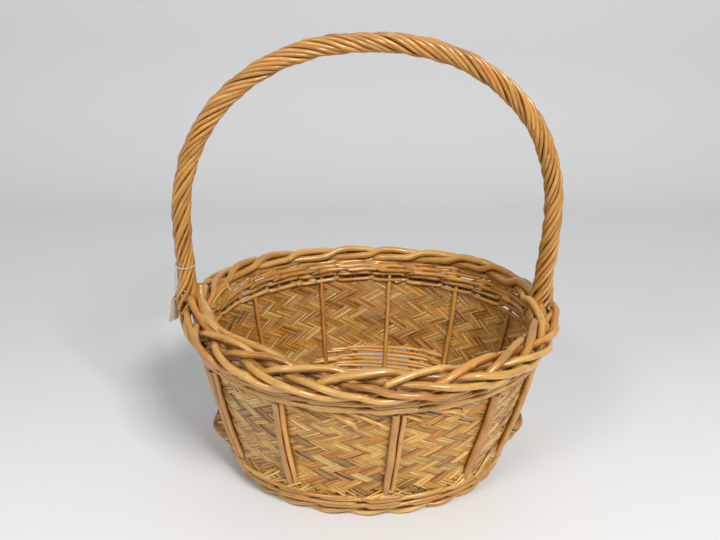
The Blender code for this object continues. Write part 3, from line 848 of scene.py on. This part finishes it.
BAND_COUNT = 52
BAND_CLIMB = 91.0
SPLINTS = 5
TWILL_LIFT = 0.00070
SPLINT_HALF = 0.00090
SPLINT_THICK = 0.00024
SPLINT_TIP_ABOVE = 0.0055
MAT_FLARE = 0.0056
BULGE_DEPTH = 0.017
BULGE_Z = 0.056
BULGE_HALF_HEIGHT = 0.032
BULGES = ((192, 9), (347, 12))


def mat_bulge(angle, z):
    """Two places low on the sides where the matting has been pushed out between the uprights."""
    degrees = np.degrees(angle) % 360
    height = np.abs(z - BULGE_Z) / BULGE_HALF_HEIGHT
    swell = 0 * z
    for centre, half_width in BULGES:
        width = np.abs(degrees - centre) / half_width
        inside = (width < 1) & (height < 1)
        shape = np.cos(width * math.pi / 2) * np.cos(height * math.pi / 2)
        swell += BULGE_DEPTH * np.where(inside, shape ** 2, 0)
    return swell


def twill(place):
    """Over two, under two, with soft turns: 1 above and -1 below."""
    return np.clip(np.cos(FULL_TURN * (place - 1) / 4) * 2.6, -1, 1)


def band_lift(direction, band, other):
    """How far a band stands out where it crosses the other family at the place other: a whole band
    goes over or under together. The two families agree at every crossing."""
    place = other - band if direction > 0 else band - other + 1
    return direction * TWILL_LIFT * twill(place)


FAR_EDGE_Z = 0.073
FAR_EDGE_DEGREES = (36, 120)
FAR_EDGE_RAMP = 30
FAR_ROD_LEVELS = (0.0330, 0.0376, 0.0420, 0.0464, 0.0508, 0.0552, 0.0598, 0.0656, 0.0704)


def far_edge(angle):
    """Where the matting stops higher, at the bottom of the far side: 1 inside that stretch, 0 outside."""
    degrees = np.degrees(angle) % 360
    low, high = FAR_EDGE_DEGREES
    return smooth_step((degrees - low) / FAR_EDGE_RAMP) * smooth_step((high - degrees) / FAR_EDGE_RAMP)


def make_far_rods():
    """Pale waling rods that close the wall below the matting's high edge on the far side."""
    rng = np.random.default_rng(590)
    bundle = Bundle()
    low, high = FAR_EDGE_DEGREES
    for number, level in enumerate(FAR_ROD_LEVELS):
        reach = FAR_EDGE_RAMP * math.sqrt(level / FAR_EDGE_Z) * 0.8
        begin = math.radians(low + reach - rng.uniform(6, 15))
        end = math.radians(high - reach + rng.uniform(6, 15))
        angle = np.linspace(begin, end, 80)
        open_part = smooth_step((far_edge(angle) * FAR_EDGE_Z - level) / 0.010 + 1)
        out = 0.0004 - 0.0030 * (1 - open_part) + 0.0005 * wander(rng, (angle - begin) * BORDER_PACE, 0.050)
        slope = 0.0030 * ((angle - begin) / (end - begin) - 0.5) * (-1) ** number
        lift = 0.0006 * wander(rng, (angle - begin) * BORDER_PACE, 0.040) - slope
        radius = rng.uniform(0.0023, 0.0027)
        bundle.willow(rng, wall(angle, out, level + lift), radius, radius * 0.8, 8, rng.uniform(0.8, 1.0),
                      slants=(0.6, 0.6))
    bundle.piece("lower_far_waling_rods", thin_willow, "basket", None)


def rolled(normal, points, roll):
    """The splint's face direction, rolled about its own length."""
    along = tangents(points)
    side = np.cross(along, normal)
    return normal * math.cos(roll) + side * math.sin(roll)


def band_looks(rng, warmths):
    """Tone and warmth of a band of splints cut from one culm; a few bands are dark or straw-pale."""
    tone, warmth, odd = rng.normal(0.57, 0.10), rng.uniform(*warmths), rng.uniform()
    if odd < 0.12:
        tone -= 0.24
    if odd > 0.86:
        tone += 0.18
    return tone, warmth


def make_mat():
    """Bands of five splints at two slants, woven over two and under two round the wall."""
    for direction, part_name, warmths in ((1, "rising", (0.05, 0.60)), (-1, "falling", (0.55, 1.0))):
        rng = np.random.default_rng(500 + direction)
        bundle = Bundle()
        for band in range(BAND_COUNT):
            band_tone, band_warmth = band_looks(rng, warmths)
            for splint in range(SPLINTS):
                index = band + (splint + 0.5) / SPLINTS + rng.normal(0, 0.010)
                top = MAT_TOP_Z + SPLINT_TIP_ABOVE + rng.uniform(-0.0015, 0.0015)
                bottom = MAT_BOTTOM_Z - rng.uniform(0.002, 0.010)
                turn = FULL_TURN * (index + direction * FAR_EDGE_Z * BAND_CLIMB) / BAND_COUNT
                bottom += far_edge(turn) * (FAR_EDGE_Z - MAT_BOTTOM_Z + rng.uniform(-0.0005, 0.006))
                z = np.arange(bottom, top, 0.0017)
                free = smooth_step((MAT_BOTTOM_Z + FREE_ABOVE - z) / FREE_LENGTH)
                place = (index + direction * z * BAND_CLIMB) / BAND_COUNT
                angle = FULL_TURN * (place + free * (rng.normal(0, 0.0011) - direction * 0.0006))
                lift = band_lift(direction, band, index + 2 * direction * z * BAND_CLIMB)
                lift = lift + rng.normal(0, 0.00008) + 0.00012 * wander(rng, z - z[0], 0.008)
                flare = free * (MAT_FLARE + rng.uniform(-0.0004, 0.0010))
                points = wall(angle, lift + flare + mat_bulge(angle, z), z)
                tone = float(np.clip(band_tone + rng.normal(0, 0.15), 0, 1))
                warmth = float(np.clip(band_warmth + rng.normal(0, 0.18), 0, 1))
                tips = np.exp(-(z - z[0]) / 0.003) * rng.uniform(0, 0.9)
                face = rolled(outward(angle), points, rng.normal(0, 0.13))
                half = SPLINT_HALF * rng.uniform(0.92, 1.06)
                # Each splint's thin edges get painted shade, for the dark gaps between splints.
                bundle.tube(points, SPLINT_THICK, half, face, 6, tone, warmth, tips, rng.uniform(0, 40),
                            edge_painted_shade=1.0)
        bundle.piece(f"mat_{part_name}_splints", split_bamboo, "basket", "bamboo_mat")


# Where loose ends stand together, in degrees round the wall, and how many there are.
LOOSE_FANS = ((244, 7), (252, 9), (261, 6), (277, 5), (286, 6), (215, 3), (310, 3))
LOW_FANS = ((222, 7), (236, 5), (268, 6), (303, 9), (313, 7))
LOOSE_TOP_Z, LOW_FAN_Z = 0.1520, 0.0285
FREE_ABOVE, FREE_LENGTH = 0.014, 0.024


def loose_splint(bundle, rng, points, angle, part, roll, thick, widths, tones, warmths):
    """One loose end of splint, dark towards its tip."""
    face = rolled(outward(angle), points, rng.normal(0, roll))
    bundle.tube(points, thick, rng.uniform(*widths), face, 6, rng.uniform(*tones), rng.uniform(*warmths),
                0.6 * part ** 3, rng.uniform(0, 40), (0, rng.uniform(-1, 1)))


def make_loose_splints():
    """Ends of the matting that have worked loose on the near side: they lie flat under the upper
    waling, or stand fanned out over the lower one."""
    rng = np.random.default_rng(540)
    bundle = Bundle()
    for degrees, count in LOOSE_FANS:
        for number in range(count):
            start = math.radians(degrees + rng.uniform(-3, 3))
            reach = rng.uniform(0.012, 0.030)
            slope = rng.uniform(-0.55, -0.10) * rng.choice((1, 1, -1))
            part = np.linspace(0, 1, 12)
            z = LOOSE_TOP_Z - rng.uniform(0, 0.004) + slope * reach * part - 0.0030 * part ** 2
            angle = start + reach * part / BORDER_PACE
            out = 0.0022 + rng.uniform(0.0004, 0.0012) * number / count + 0.0020 * part * rng.uniform(0.2, 1)
            loose_splint(bundle, rng, wall(angle, out, z), angle, part, 0.35, 0.00022,
                         (0.0008, 0.0014), (0.35, 0.85), (0, 0.5))
    for degrees, count in LOW_FANS:
        for number in range(count):
            start = math.radians(degrees + rng.uniform(-4, 4))
            reach = rng.uniform(0.016, 0.030)
            part = np.linspace(0, 1, 12)
            z = LOW_FAN_Z + rng.uniform(0.35, 0.95) * reach * part
            angle = start + reach * part / BORDER_PACE
            flare = MAT_FLARE * smooth_step((MAT_BOTTOM_Z + FREE_ABOVE - z) / FREE_LENGTH)
            out = flare + 0.0020 + 0.0010 * number / count + 0.0012 * part * rng.uniform(0, 1)
            loose_splint(bundle, rng, wall(angle, out, z), angle, part, 0.25, SPLINT_THICK,
                         (0.0008, 0.0011), (0.55, 0.95), (0.2, 0.8))
    bundle.piece("mat_loose_splints", split_bamboo, "basket", None)


FLOOR_BAND_WIDTH = 0.0094
FLOOR_BAND_SLANT = math.radians(31)
FLOOR_BANDS = 28


def make_base_mat():
    """The floor of the same twill, flat, trimmed to the oval."""
    rng = np.random.default_rng(560)
    bundle = Bundle()
    half = half_size("base_mat")
    level = (BASE_LOW.z + BASE_HIGH.z) / 2
    width, slant = FLOOR_BAND_WIDTH, FLOOR_BAND_SLANT
    for direction in (1, -1):
        along = np.array((math.cos(slant), direction * math.sin(slant), 0.0))
        side = np.array((-along[1], along[0], 0.0))
        for band in range(-FLOOR_BANDS, FLOOR_BANDS):
            band_tone = rng.normal(0.46, 0.10)
            warmth = rng.uniform(0.1, 0.8)
            for splint in range(SPLINTS):
                offset = (band + (splint + 0.5) / SPLINTS) * width
                a = (along[0] / half[0]) ** 2 + (along[1] / half[1]) ** 2
                b = 2 * offset * (along[0] * side[0] / half[0] ** 2 + along[1] * side[1] / half[1] ** 2)
                c = offset ** 2 * ((side[0] / half[0]) ** 2 + (side[1] / half[1]) ** 2) - 1
                inside = b * b - 4 * a * c
                if inside <= 0:
                    continue
                root = math.sqrt(inside)
                t = np.arange((-b - root) / (2 * a), (root - b) / (2 * a), 0.0022)
                if len(t) < 4:
                    continue
                points = BODY_MIDDLE + along * t[:, None] + side * offset
                other_side = np.array((-side[0], side[1], 0.0))
                lift = band_lift(direction, band, (points - BODY_MIDDLE) @ other_side / width)
                points[:, 2] = level + lift + rng.normal(0, 0.00005)
                tone = float(np.clip(band_tone + rng.normal(0, 0.1), 0, 1))
                bundle.tube(points, SPLINT_THICK, SPLINT_HALF * 1.02, UP, 6, tone, warmth, 0.0,
                            rng.uniform(0, 40))
    bundle.piece("base_mat_splints", split_bamboo, "basket", "base_mat")


def make_base_sticks():
    names = [f"base_long_stick_{i}" for i in range(1, 4)] + [f"base_cross_stick_{i}" for i in range(1, 5)]
    for number, name in enumerate(names):
        rng = np.random.default_rng(580 + number)
        low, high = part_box(name)
        centre = (np.array(low) + np.array(high)) / 2
        size = np.array(high) - np.array(low)
        axis = int(np.argmax(size))
        reach = np.zeros(3)
        reach[axis] = size[axis] / 2 - 0.0006
        points = resample([centre - reach, centre + reach], 0.004)
        bundle = Bundle()
        radius = size[2] / 2
        bundle.willow(rng, points, radius, radius * 0.94, 12, rng.uniform(0.1, 0.6), wobble=0.0002)
        bundle.piece(name + "_rod", thick_willow, "basket", name)


# ---------------------------------------------------------------- handle

BOW_FOOT_Z = 0.0130
BOW_ROD = 0.0045
WRAP_TURNS = 7.5
WRAP_RODS = 10
WRAP_RADIUS = 0.0074
WRAP_FOOT_Z = 0.187
FLARE_Z = 0.234
FLARE_LENGTH = 0.046
FLARE_OUT = 0.0078
# Tails of the wrapping rods: angle past the leg, how far outside the wall, and height.
OUTER_TAIL = ((0.05, 0.0190, 0.1810), (0.15, 0.0170, 0.1745), (0.28, 0.0115, 0.1685), (0.36, 0.0070, 0.1660))
INNER_TAIL = ((0.03, -0.0110, 0.1800), (0.05, -0.0085, 0.1700), (0.06, -0.0060, 0.1620))


def wrap_tail(side, outer, toward_front):
    """Where a wrapping rod goes below the leg: past the border outside it, or down inside."""
    turn = -side * (1 if toward_front else -1)
    tail = OUTER_TAIL if outer else INNER_TAIL
    return [wall(LEG_ANGLES[side] + turn * step, out, z) for step, out, z in tail]


def make_handle():
    """A stout bow wrapped by ten rods; at its feet they spread, and some pass outside the border."""
    rng = np.random.default_rng(600)
    bow = Bundle()
    bow.willow(rng, bow_course(BOW_FOOT_Z, 0.005), BOW_ROD, BOW_ROD, 12, 0.35, guide=AWAY, wobble=0.0001)
    bow.piece("handle_bow_rod", thick_willow, "basket", "handle_bow")
    bundles = [Bundle() for _ in range(5)]
    course = bow_course(WRAP_FOOT_Z, 0.0030)
    s = lengths_along(course)
    along = tangents(course)
    out = unit(np.cross(along, AWAY))
    near = np.cross(along, out)
    flare = FLARE_OUT * smooth_step((FLARE_Z - course[:, 2]) / FLARE_LENGTH)
    for rod in range(WRAP_RODS):
        rng = np.random.default_rng(610 + rod)
        turn = FULL_TURN * (WRAP_TURNS * s / s[-1] + (rod + 0.3) / WRAP_RODS) + 0.14 * wander(rng, s, 0.08)
        reach = WRAP_RADIUS + 0.0007 * wander(rng, s, 0.045)
        outer_part = np.cos(turn)
        points = course + out * (outer_part * reach + flare * np.clip(outer_part, 0, 1))[:, None]
        points = points + near * (np.sin(turn) * reach)[:, None]
        course_points = list(points)
        for side, end in ((-1, 0), (1, -1)):
            facing = -1 if near[end][1] > 0 else 1
            tail = wrap_tail(side, outer_part[end] > 0.2, np.sin(turn[end]) * facing > 0)
            course_points = tail[::-1] + course_points if end == 0 else course_points + tail
        foot_one, foot_two = (curve_through(part, 0.003) for part in (course_points[:6], course_points[-6:]))
        points = resample(np.concatenate((foot_one, course_points[6:-6], foot_two)), 0.003)
        butt, tip = rng.uniform(0.0022, 0.0026), rng.uniform(0.0017, 0.0021)
        if rod % 2:
            butt, tip = tip, butt
        # Painted shade falls on the wrapping rods' sides turned in towards the bow, in the grooves between
        # them.
        nearest = np.linalg.norm(points[:, None] - course[None], axis=2).argmin(1)
        facing = unit(points - course[nearest])
        bundles[rod % 5].willow(rng, points, butt, tip, 10, rng.uniform(0.0, 0.50), knots=0.08, facing=facing)
    finish_strands(bundles, "handle_wrap", thin_willow)


# ---------------------------------------------------------------- swing tag

TAG_JOINT = frame["joints"][0]
TAG_PIVOT = np.array(TAG_JOINT["pos_m"])
TAG_AXIS = np.array(TAG_JOINT["axis"])
TAG_OUT = np.array((-TAG_AXIS[1], TAG_AXIS[0], 0.0))
THREAD_PLY = 0.00030
THREAD_PITCH = 0.0030
TIE_REACH = 0.0099
TIE_EYE_TURN = math.radians(-30)
TIE_EYE_HALF = math.radians(24)
TIE_KNOT_BESIDE = math.radians(58)
TIE_KNOT_SIZE, LOOP_KNOT_SIZE = 0.0008, 0.0010
TIE_END_DROPS = (0.0055, 0.0042)
LOOP_HALF_WIDTH, LOOP_TOP, LOOP_DROP = 0.0015, 0.0012, 0.0008
LOOP_KNOT_BELOW = 0.0062
CARD_HOLE_BELOW = 0.0415
CARD_HOLE_FROM_TOP = 0.004
CARD_HOLE = 0.0016
CARD_WIDE, CARD_TALL, CARD_THICK = 0.018, 0.030, 0.0005
CARD_CORNER = 0.0012
CARD_LEAN = math.radians(-6)
CARD_BOW = 0.0006
CARD_RINGS = 14
TAG_REST_LEAN = math.radians(5)


def tag_point(out, across, up):
    """A place beside the tag's pivot: away from the leg, along the hinge axis, and up.

    The tag lies against the leg's outer rods, so it hangs a few degrees off the plumb line.
    """
    cosine, sine = math.cos(TAG_REST_LEAN), math.sin(TAG_REST_LEAN)
    outwards, upwards = out * cosine - up * sine, up * cosine + out * sine
    return TAG_PIVOT + TAG_OUT * outwards + TAG_AXIS * across + UP * upwards


def add_thread(bundle, rng, points, plies=2):
    """A twisted thread: its plies wind round each other along the points."""
    points = resample(points, 0.0006)
    s = lengths_along(points)
    along = tangents(points)
    guide = np.array((0.31, 0.52, 0.79))
    side = unit(np.cross(along, guide))
    other = np.cross(along, side)
    for ply in range(plies):
        turn = FULL_TURN * (s / THREAD_PITCH + ply / plies)
        wound = points + (side * np.cos(turn)[:, None] + other * np.sin(turn)[:, None]) * THREAD_PLY * 0.85
        tone = rng.uniform(0.4, 0.6)
        bundle.tube(wound, THREAD_PLY, THREAD_PLY, other, 6, tone, 0.5, 0.0, rng.uniform(0, 9))


def knot_points(centre, first, second, size):
    """A small round knot, as turns of thread wound over themselves."""
    turn = np.linspace(0, 3 * FULL_TURN, 60)
    swing = size * (0.62 + 0.38 * np.cos(turn * 2 / 3))
    lift = size * 0.7 * np.sin(turn * 2 / 3)
    third = np.cross(first, second)
    return centre + (np.cos(turn) * swing)[:, None] * first + (np.sin(turn) * swing)[:, None] * second \
        + lift[:, None] * third


def make_tag_tie():
    """Thread tied tight round the leg, standing off it only at the eye that the tag's loop hangs in."""
    rng = np.random.default_rng(700)
    low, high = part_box("tag_tie")
    level = (low.z + high.z) / 2
    centre = leg_point(-1, level)
    along = leg_point(-1, level + 0.001) - leg_point(-1, level - 0.001)
    along /= np.linalg.norm(along)
    out = np.cross(along, AWAY)
    near = np.cross(along, out)
    eye_reach = np.linalg.norm(TAG_PIVOT - centre)
    turn = TIE_EYE_TURN + np.linspace(0, FULL_TURN, 120)
    from_eye = np.abs((turn - TIE_EYE_TURN + math.pi) % FULL_TURN - math.pi) / TIE_EYE_HALF
    reach = TIE_REACH + (eye_reach - TIE_REACH) * smooth_step(1 - from_eye)
    ring = centre + out * (np.cos(turn) * reach)[:, None] + near * (np.sin(turn) * reach)[:, None]
    bundle = Bundle()
    add_thread(bundle, rng, ring)
    beside = TIE_EYE_TURN + TIE_KNOT_BESIDE
    knot = centre + (out * math.cos(beside) + near * math.sin(beside)) * (TIE_REACH + 0.0004)
    add_thread(bundle, rng, knot_points(knot, along, np.cross(near, along), TIE_KNOT_SIZE))
    for drop in TIE_END_DROPS:
        end = knot + (out * 0.5 + near * rng.uniform(-0.4, 0.6)) * 0.0016 - UP * drop
        add_thread(bundle, rng, curve_through([knot, (knot + end) / 2 + out * 0.0007, end], 0.0006))
    bundle.piece("tag_tie_thread", cotton_thread, "basket", "tag_tie")


def make_tag_loop():
    """The loop hangs in the tie's eye and passes through the card's hole, closed by a knot near its top."""
    rng = np.random.default_rng(710)
    bundle = Bundle()
    bottom = -CARD_HOLE_BELOW + CARD_HOLE - LOOP_DROP
    part = np.linspace(-1, 1, 80)
    half = LOOP_HALF_WIDTH * np.sqrt(np.clip(1 - part ** 6, 0, 1))
    levels = (part + 1) / 2 * (LOOP_TOP - bottom) + bottom
    side_one = [tag_point(w, 0.0002, up) for w, up in zip(half, levels)]
    side_two = [tag_point(-w, -0.0002, up) for w, up in zip(half, levels)]
    add_thread(bundle, rng, side_one + side_two[::-1][1:])
    knot = tag_point(0, 0, -LOOP_KNOT_BELOW)
    add_thread(bundle, rng, knot_points(knot, TAG_OUT, UP, LOOP_KNOT_SIZE))
    bundle.piece("tag_loop_thread", cotton_thread, "tag", "tag_loop")


def make_card():
    """A blank card with rounded corners and a punched hole, bowed a little by the damp."""
    top, bottom = CARD_HOLE_FROM_TOP, CARD_HOLE_FROM_TOP - CARD_TALL
    ring_count = 64
    turn = FULL_TURN * np.arange(ring_count) / ring_count
    direction = np.stack((np.cos(turn), np.sin(turn)), -1)
    across, up = np.abs(direction).T
    inner = CARD_HOLE * direction
    with np.errstate(divide="ignore"):
        far = np.minimum(CARD_WIDE / 2 / across,
                         np.where(direction[:, 1] > 0, top, -bottom) / np.maximum(up, 1e-9))
    edge = direction * far[:, None]
    flat = np.array([inner + (edge - inner) * grow for grow in np.linspace(0, 1, CARD_RINGS)])
    flat[-1] = rounded_outline(flat[-1], top, bottom)
    cosine, sine = math.cos(CARD_LEAN), math.sin(CARD_LEAN)
    lean = np.array([[cosine, -sine], [sine, cosine]])
    bundle = Bundle()
    y, z = flat[..., 0], flat[..., 1]
    bow = CARD_BOW * ((z - top) / CARD_TALL) ** 2
    turned = np.stack((y, z), -1) @ lean.T
    verts, grain = [], []
    for face in (CARD_THICK / 2, -CARD_THICK / 2):
        up = turned[..., 1] - CARD_HOLE_BELOW
        verts.append(tag_point((bow + face)[..., None], turned[..., 0, None], up[..., None]).reshape(-1, 3))
        grain.append(np.stack((y, z, face + 0 * y), -1).reshape(-1, 3))
    edge_mark = np.zeros(flat.shape[:2])
    edge_mark[-1] = 1.0
    look = np.stack((0.5 + 0 * y, 0.5 + 0 * y, edge_mark), -1).reshape(-1, 3)
    look = np.concatenate((look, look))
    per_sheet = flat.shape[0] * ring_count
    k = np.arange(ring_count)
    following = (k + 1) % ring_count
    quads = []
    for row in range(flat.shape[0] - 1):
        a, b = row * ring_count, (row + 1) * ring_count
        quads.append(np.stack((a + k, b + k, b + following, a + following), -1))
        quads.append(np.stack((a + following, b + following, b + k, a + k), -1) + per_sheet)
    last = per_sheet - ring_count
    rim, rim_next = last + k, last + following
    quads.append(np.stack((rim, rim + per_sheet, rim_next + per_sheet, rim_next), -1))
    quads.append(np.stack((following, following + per_sheet, k + per_sheet, k), -1))
    bundle.add(np.concatenate(verts), np.concatenate(grain), look, np.concatenate(quads), [])
    bundle.piece("swing_tag_card", card_paper, "tag", "swing_tag")


def rounded_outline(edge, top, bottom):
    """Pulls the outline's corner points in onto small round corners."""
    middle = np.array((0.0, (top + bottom) / 2))
    half = np.array((CARD_WIDE / 2, (top - bottom) / 2)) - CARD_CORNER
    from_middle = edge - middle
    core = np.clip(from_middle, -half, half)
    beyond = from_middle - core
    size = np.linalg.norm(beyond, axis=1, keepdims=True)
    return middle + core + np.where(size > CARD_CORNER, beyond / np.maximum(size, 1e-9) * CARD_CORNER, beyond)


# ---------------------------------------------------------------- making all of it

make_outer_stakes()
make_inner_stakes()
make_round("lower_pairing", 1, 0.0185, 0.0025, 310, 0.0021, 0.0040, 0.0072)
make_round("lower_pairing", 3, 0.0285, 0.0025, 320, 0.0021, 0.0040, 0.0072)
make_round("upper_pairing", 1, 0.1560, 0.0023, 330, 0.0014, 0.0044, 0.0066)
make_round("upper_pairing", 3, 0.1640, 0.0024, 340, 0.0016, 0.0044, 0.0066)
make_foot()
make_border()
make_sweeping_rods()
make_trimmed_ends()
make_mat()
make_loose_splints()
make_far_rods()
make_base_mat()
make_base_sticks()
make_handle()
make_tag_tie()
make_tag_loop()
make_card()

# ---------------------------------------------------------------- studio

FOCAL_PX, FRAME_PX, SENSOR_MM = 816.28, 720, 36
CAMERA_DISTANCE = 0.86043
CAMERA_TARGET = Vector((-0.00841, 0.0, 0.23029))
ELEVATION, AZIMUTH, ROLL = (math.radians(v) for v in (23.16, -3.99, 1.6))


def make_camera():
    back = Vector((math.sin(AZIMUTH) * math.cos(ELEVATION), -math.cos(AZIMUTH) * math.cos(ELEVATION),
                   math.sin(ELEVATION)))
    place = CAMERA_TARGET + back * CAMERA_DISTANCE
    right = Vector((0, 0, 1)).cross(back).normalized()
    top = back.cross(right)
    x = math.cos(ROLL) * right + math.sin(ROLL) * top
    y = -math.sin(ROLL) * right + math.cos(ROLL) * top
    data = bpy.data.cameras.new("camera")
    data.sensor_width = SENSOR_MM
    data.lens = FOCAL_PX / FRAME_PX * SENSOR_MM
    camera = bpy.data.objects.new("camera", data)
    link(camera)
    camera.matrix_world = Matrix((
        (x.x, y.x, back.x, place.x), (x.y, y.y, back.y, place.y), (x.z, y.z, back.z, place.z), (0, 0, 0, 1)))
    bpy.context.scene.camera = camera


def area_light(name, place, target, size, power, colour=(1, 1, 1)):
    data = bpy.data.lights.new(name, "AREA")
    data.shape = "RECTANGLE"
    data.size, data.size_y = size
    data.energy = power
    data.color = colour
    light = bpy.data.objects.new(name, data)
    light.location = place
    light.rotation_euler = (Vector(target) - Vector(place)).to_track_quat("-Z", "Y").to_euler()
    link(light)


# The paper is painted darker from the floor in front to the wall behind: painted shade, for the wall's lower
# light.
PAPER_SHADE_Y = (-0.55, 0.30)
PAPER_HALF, PAPER_WALL_Y, PAPER_TOP, PAPER_BEND = 3.0, 1.15, 3.0, 0.30
PAPER_PAINTED_SHADE_TONES = [(0.0, (0.82, 0.825, 0.83)), (1.0, (0.64, 0.645, 0.655))]
AIR_COLOUR, AIR_STRENGTH = (0.96, 0.98, 1.0, 1), 0.26


def make_studio():
    sweep = bpy.data.meshes.new("studio_floor")
    size, wall_y, wall_top, bend = PAPER_HALF, PAPER_WALL_Y, PAPER_TOP, PAPER_BEND
    profile = [(-size, 0.0), (wall_y - bend, 0.0)]
    for turn in np.linspace(0.1, 1.5, 14):
        profile.append((wall_y - bend + bend * math.sin(turn), bend - bend * math.cos(turn)))
    profile += [(wall_y, bend), (wall_y, wall_top)]
    verts = [(x, y, z) for y, z in profile for x in (-size, size)]
    faces = [(2 * i, 2 * i + 1, 2 * i + 3, 2 * i + 2) for i in range(len(profile) - 1)]
    sweep.from_pydata(verts, [], faces)
    sweep.shade_smooth()
    paper = Nodes("studio_paper")
    position = paper.node("ShaderNodeNewGeometry").outputs["Position"]
    place = paper.node("ShaderNodeSeparateXYZ")
    paper.put(place.inputs[0], position)
    cloud = paper.span(paper.noise(paper.stretched(position, (2, 2, 2)), 1.0, 2.0), 0.3, 0.7, -0.02, 0.02)
    # Painted shade: the paper darkens towards the back wall.
    back = paper.span(place.outputs["Y"], PAPER_SHADE_Y[0], PAPER_SHADE_Y[1])
    shade = total(paper, back, cloud)
    paper.put(paper.shader.inputs["Base Color"], paper.ramp(shade, PAPER_PAINTED_SHADE_TONES))
    paper.shader.inputs["Roughness"].default_value = 0.75
    sweep.materials.append(paper.material)
    floor = bpy.data.objects.new("studio_floor", sweep)
    link(floor)
    area_light("key", (0.75, -1.75, 2.15), (0, 0, 0.12), (0.80, 0.55), 66, (1.0, 0.985, 0.96))
    area_light("fill", (-1.20, -1.50, 1.70), (0, 0, 0.15), (0.6, 0.6), 17, (0.99, 0.99, 1.0))
    area_light("top", (0.1, 0.10, 2.6), (0, 0.0, 0.1), (0.9, 0.6), 2)
    world = bpy.data.worlds.new("studio_air")
    bpy.context.scene.world = world
    world.use_nodes = True
    air = world.node_tree.nodes["Background"]
    air.inputs["Color"].default_value = AIR_COLOUR
    air.inputs["Strength"].default_value = AIR_STRENGTH


make_camera()
make_studio()
bpy.context.scene.view_settings.view_transform = "Standard"
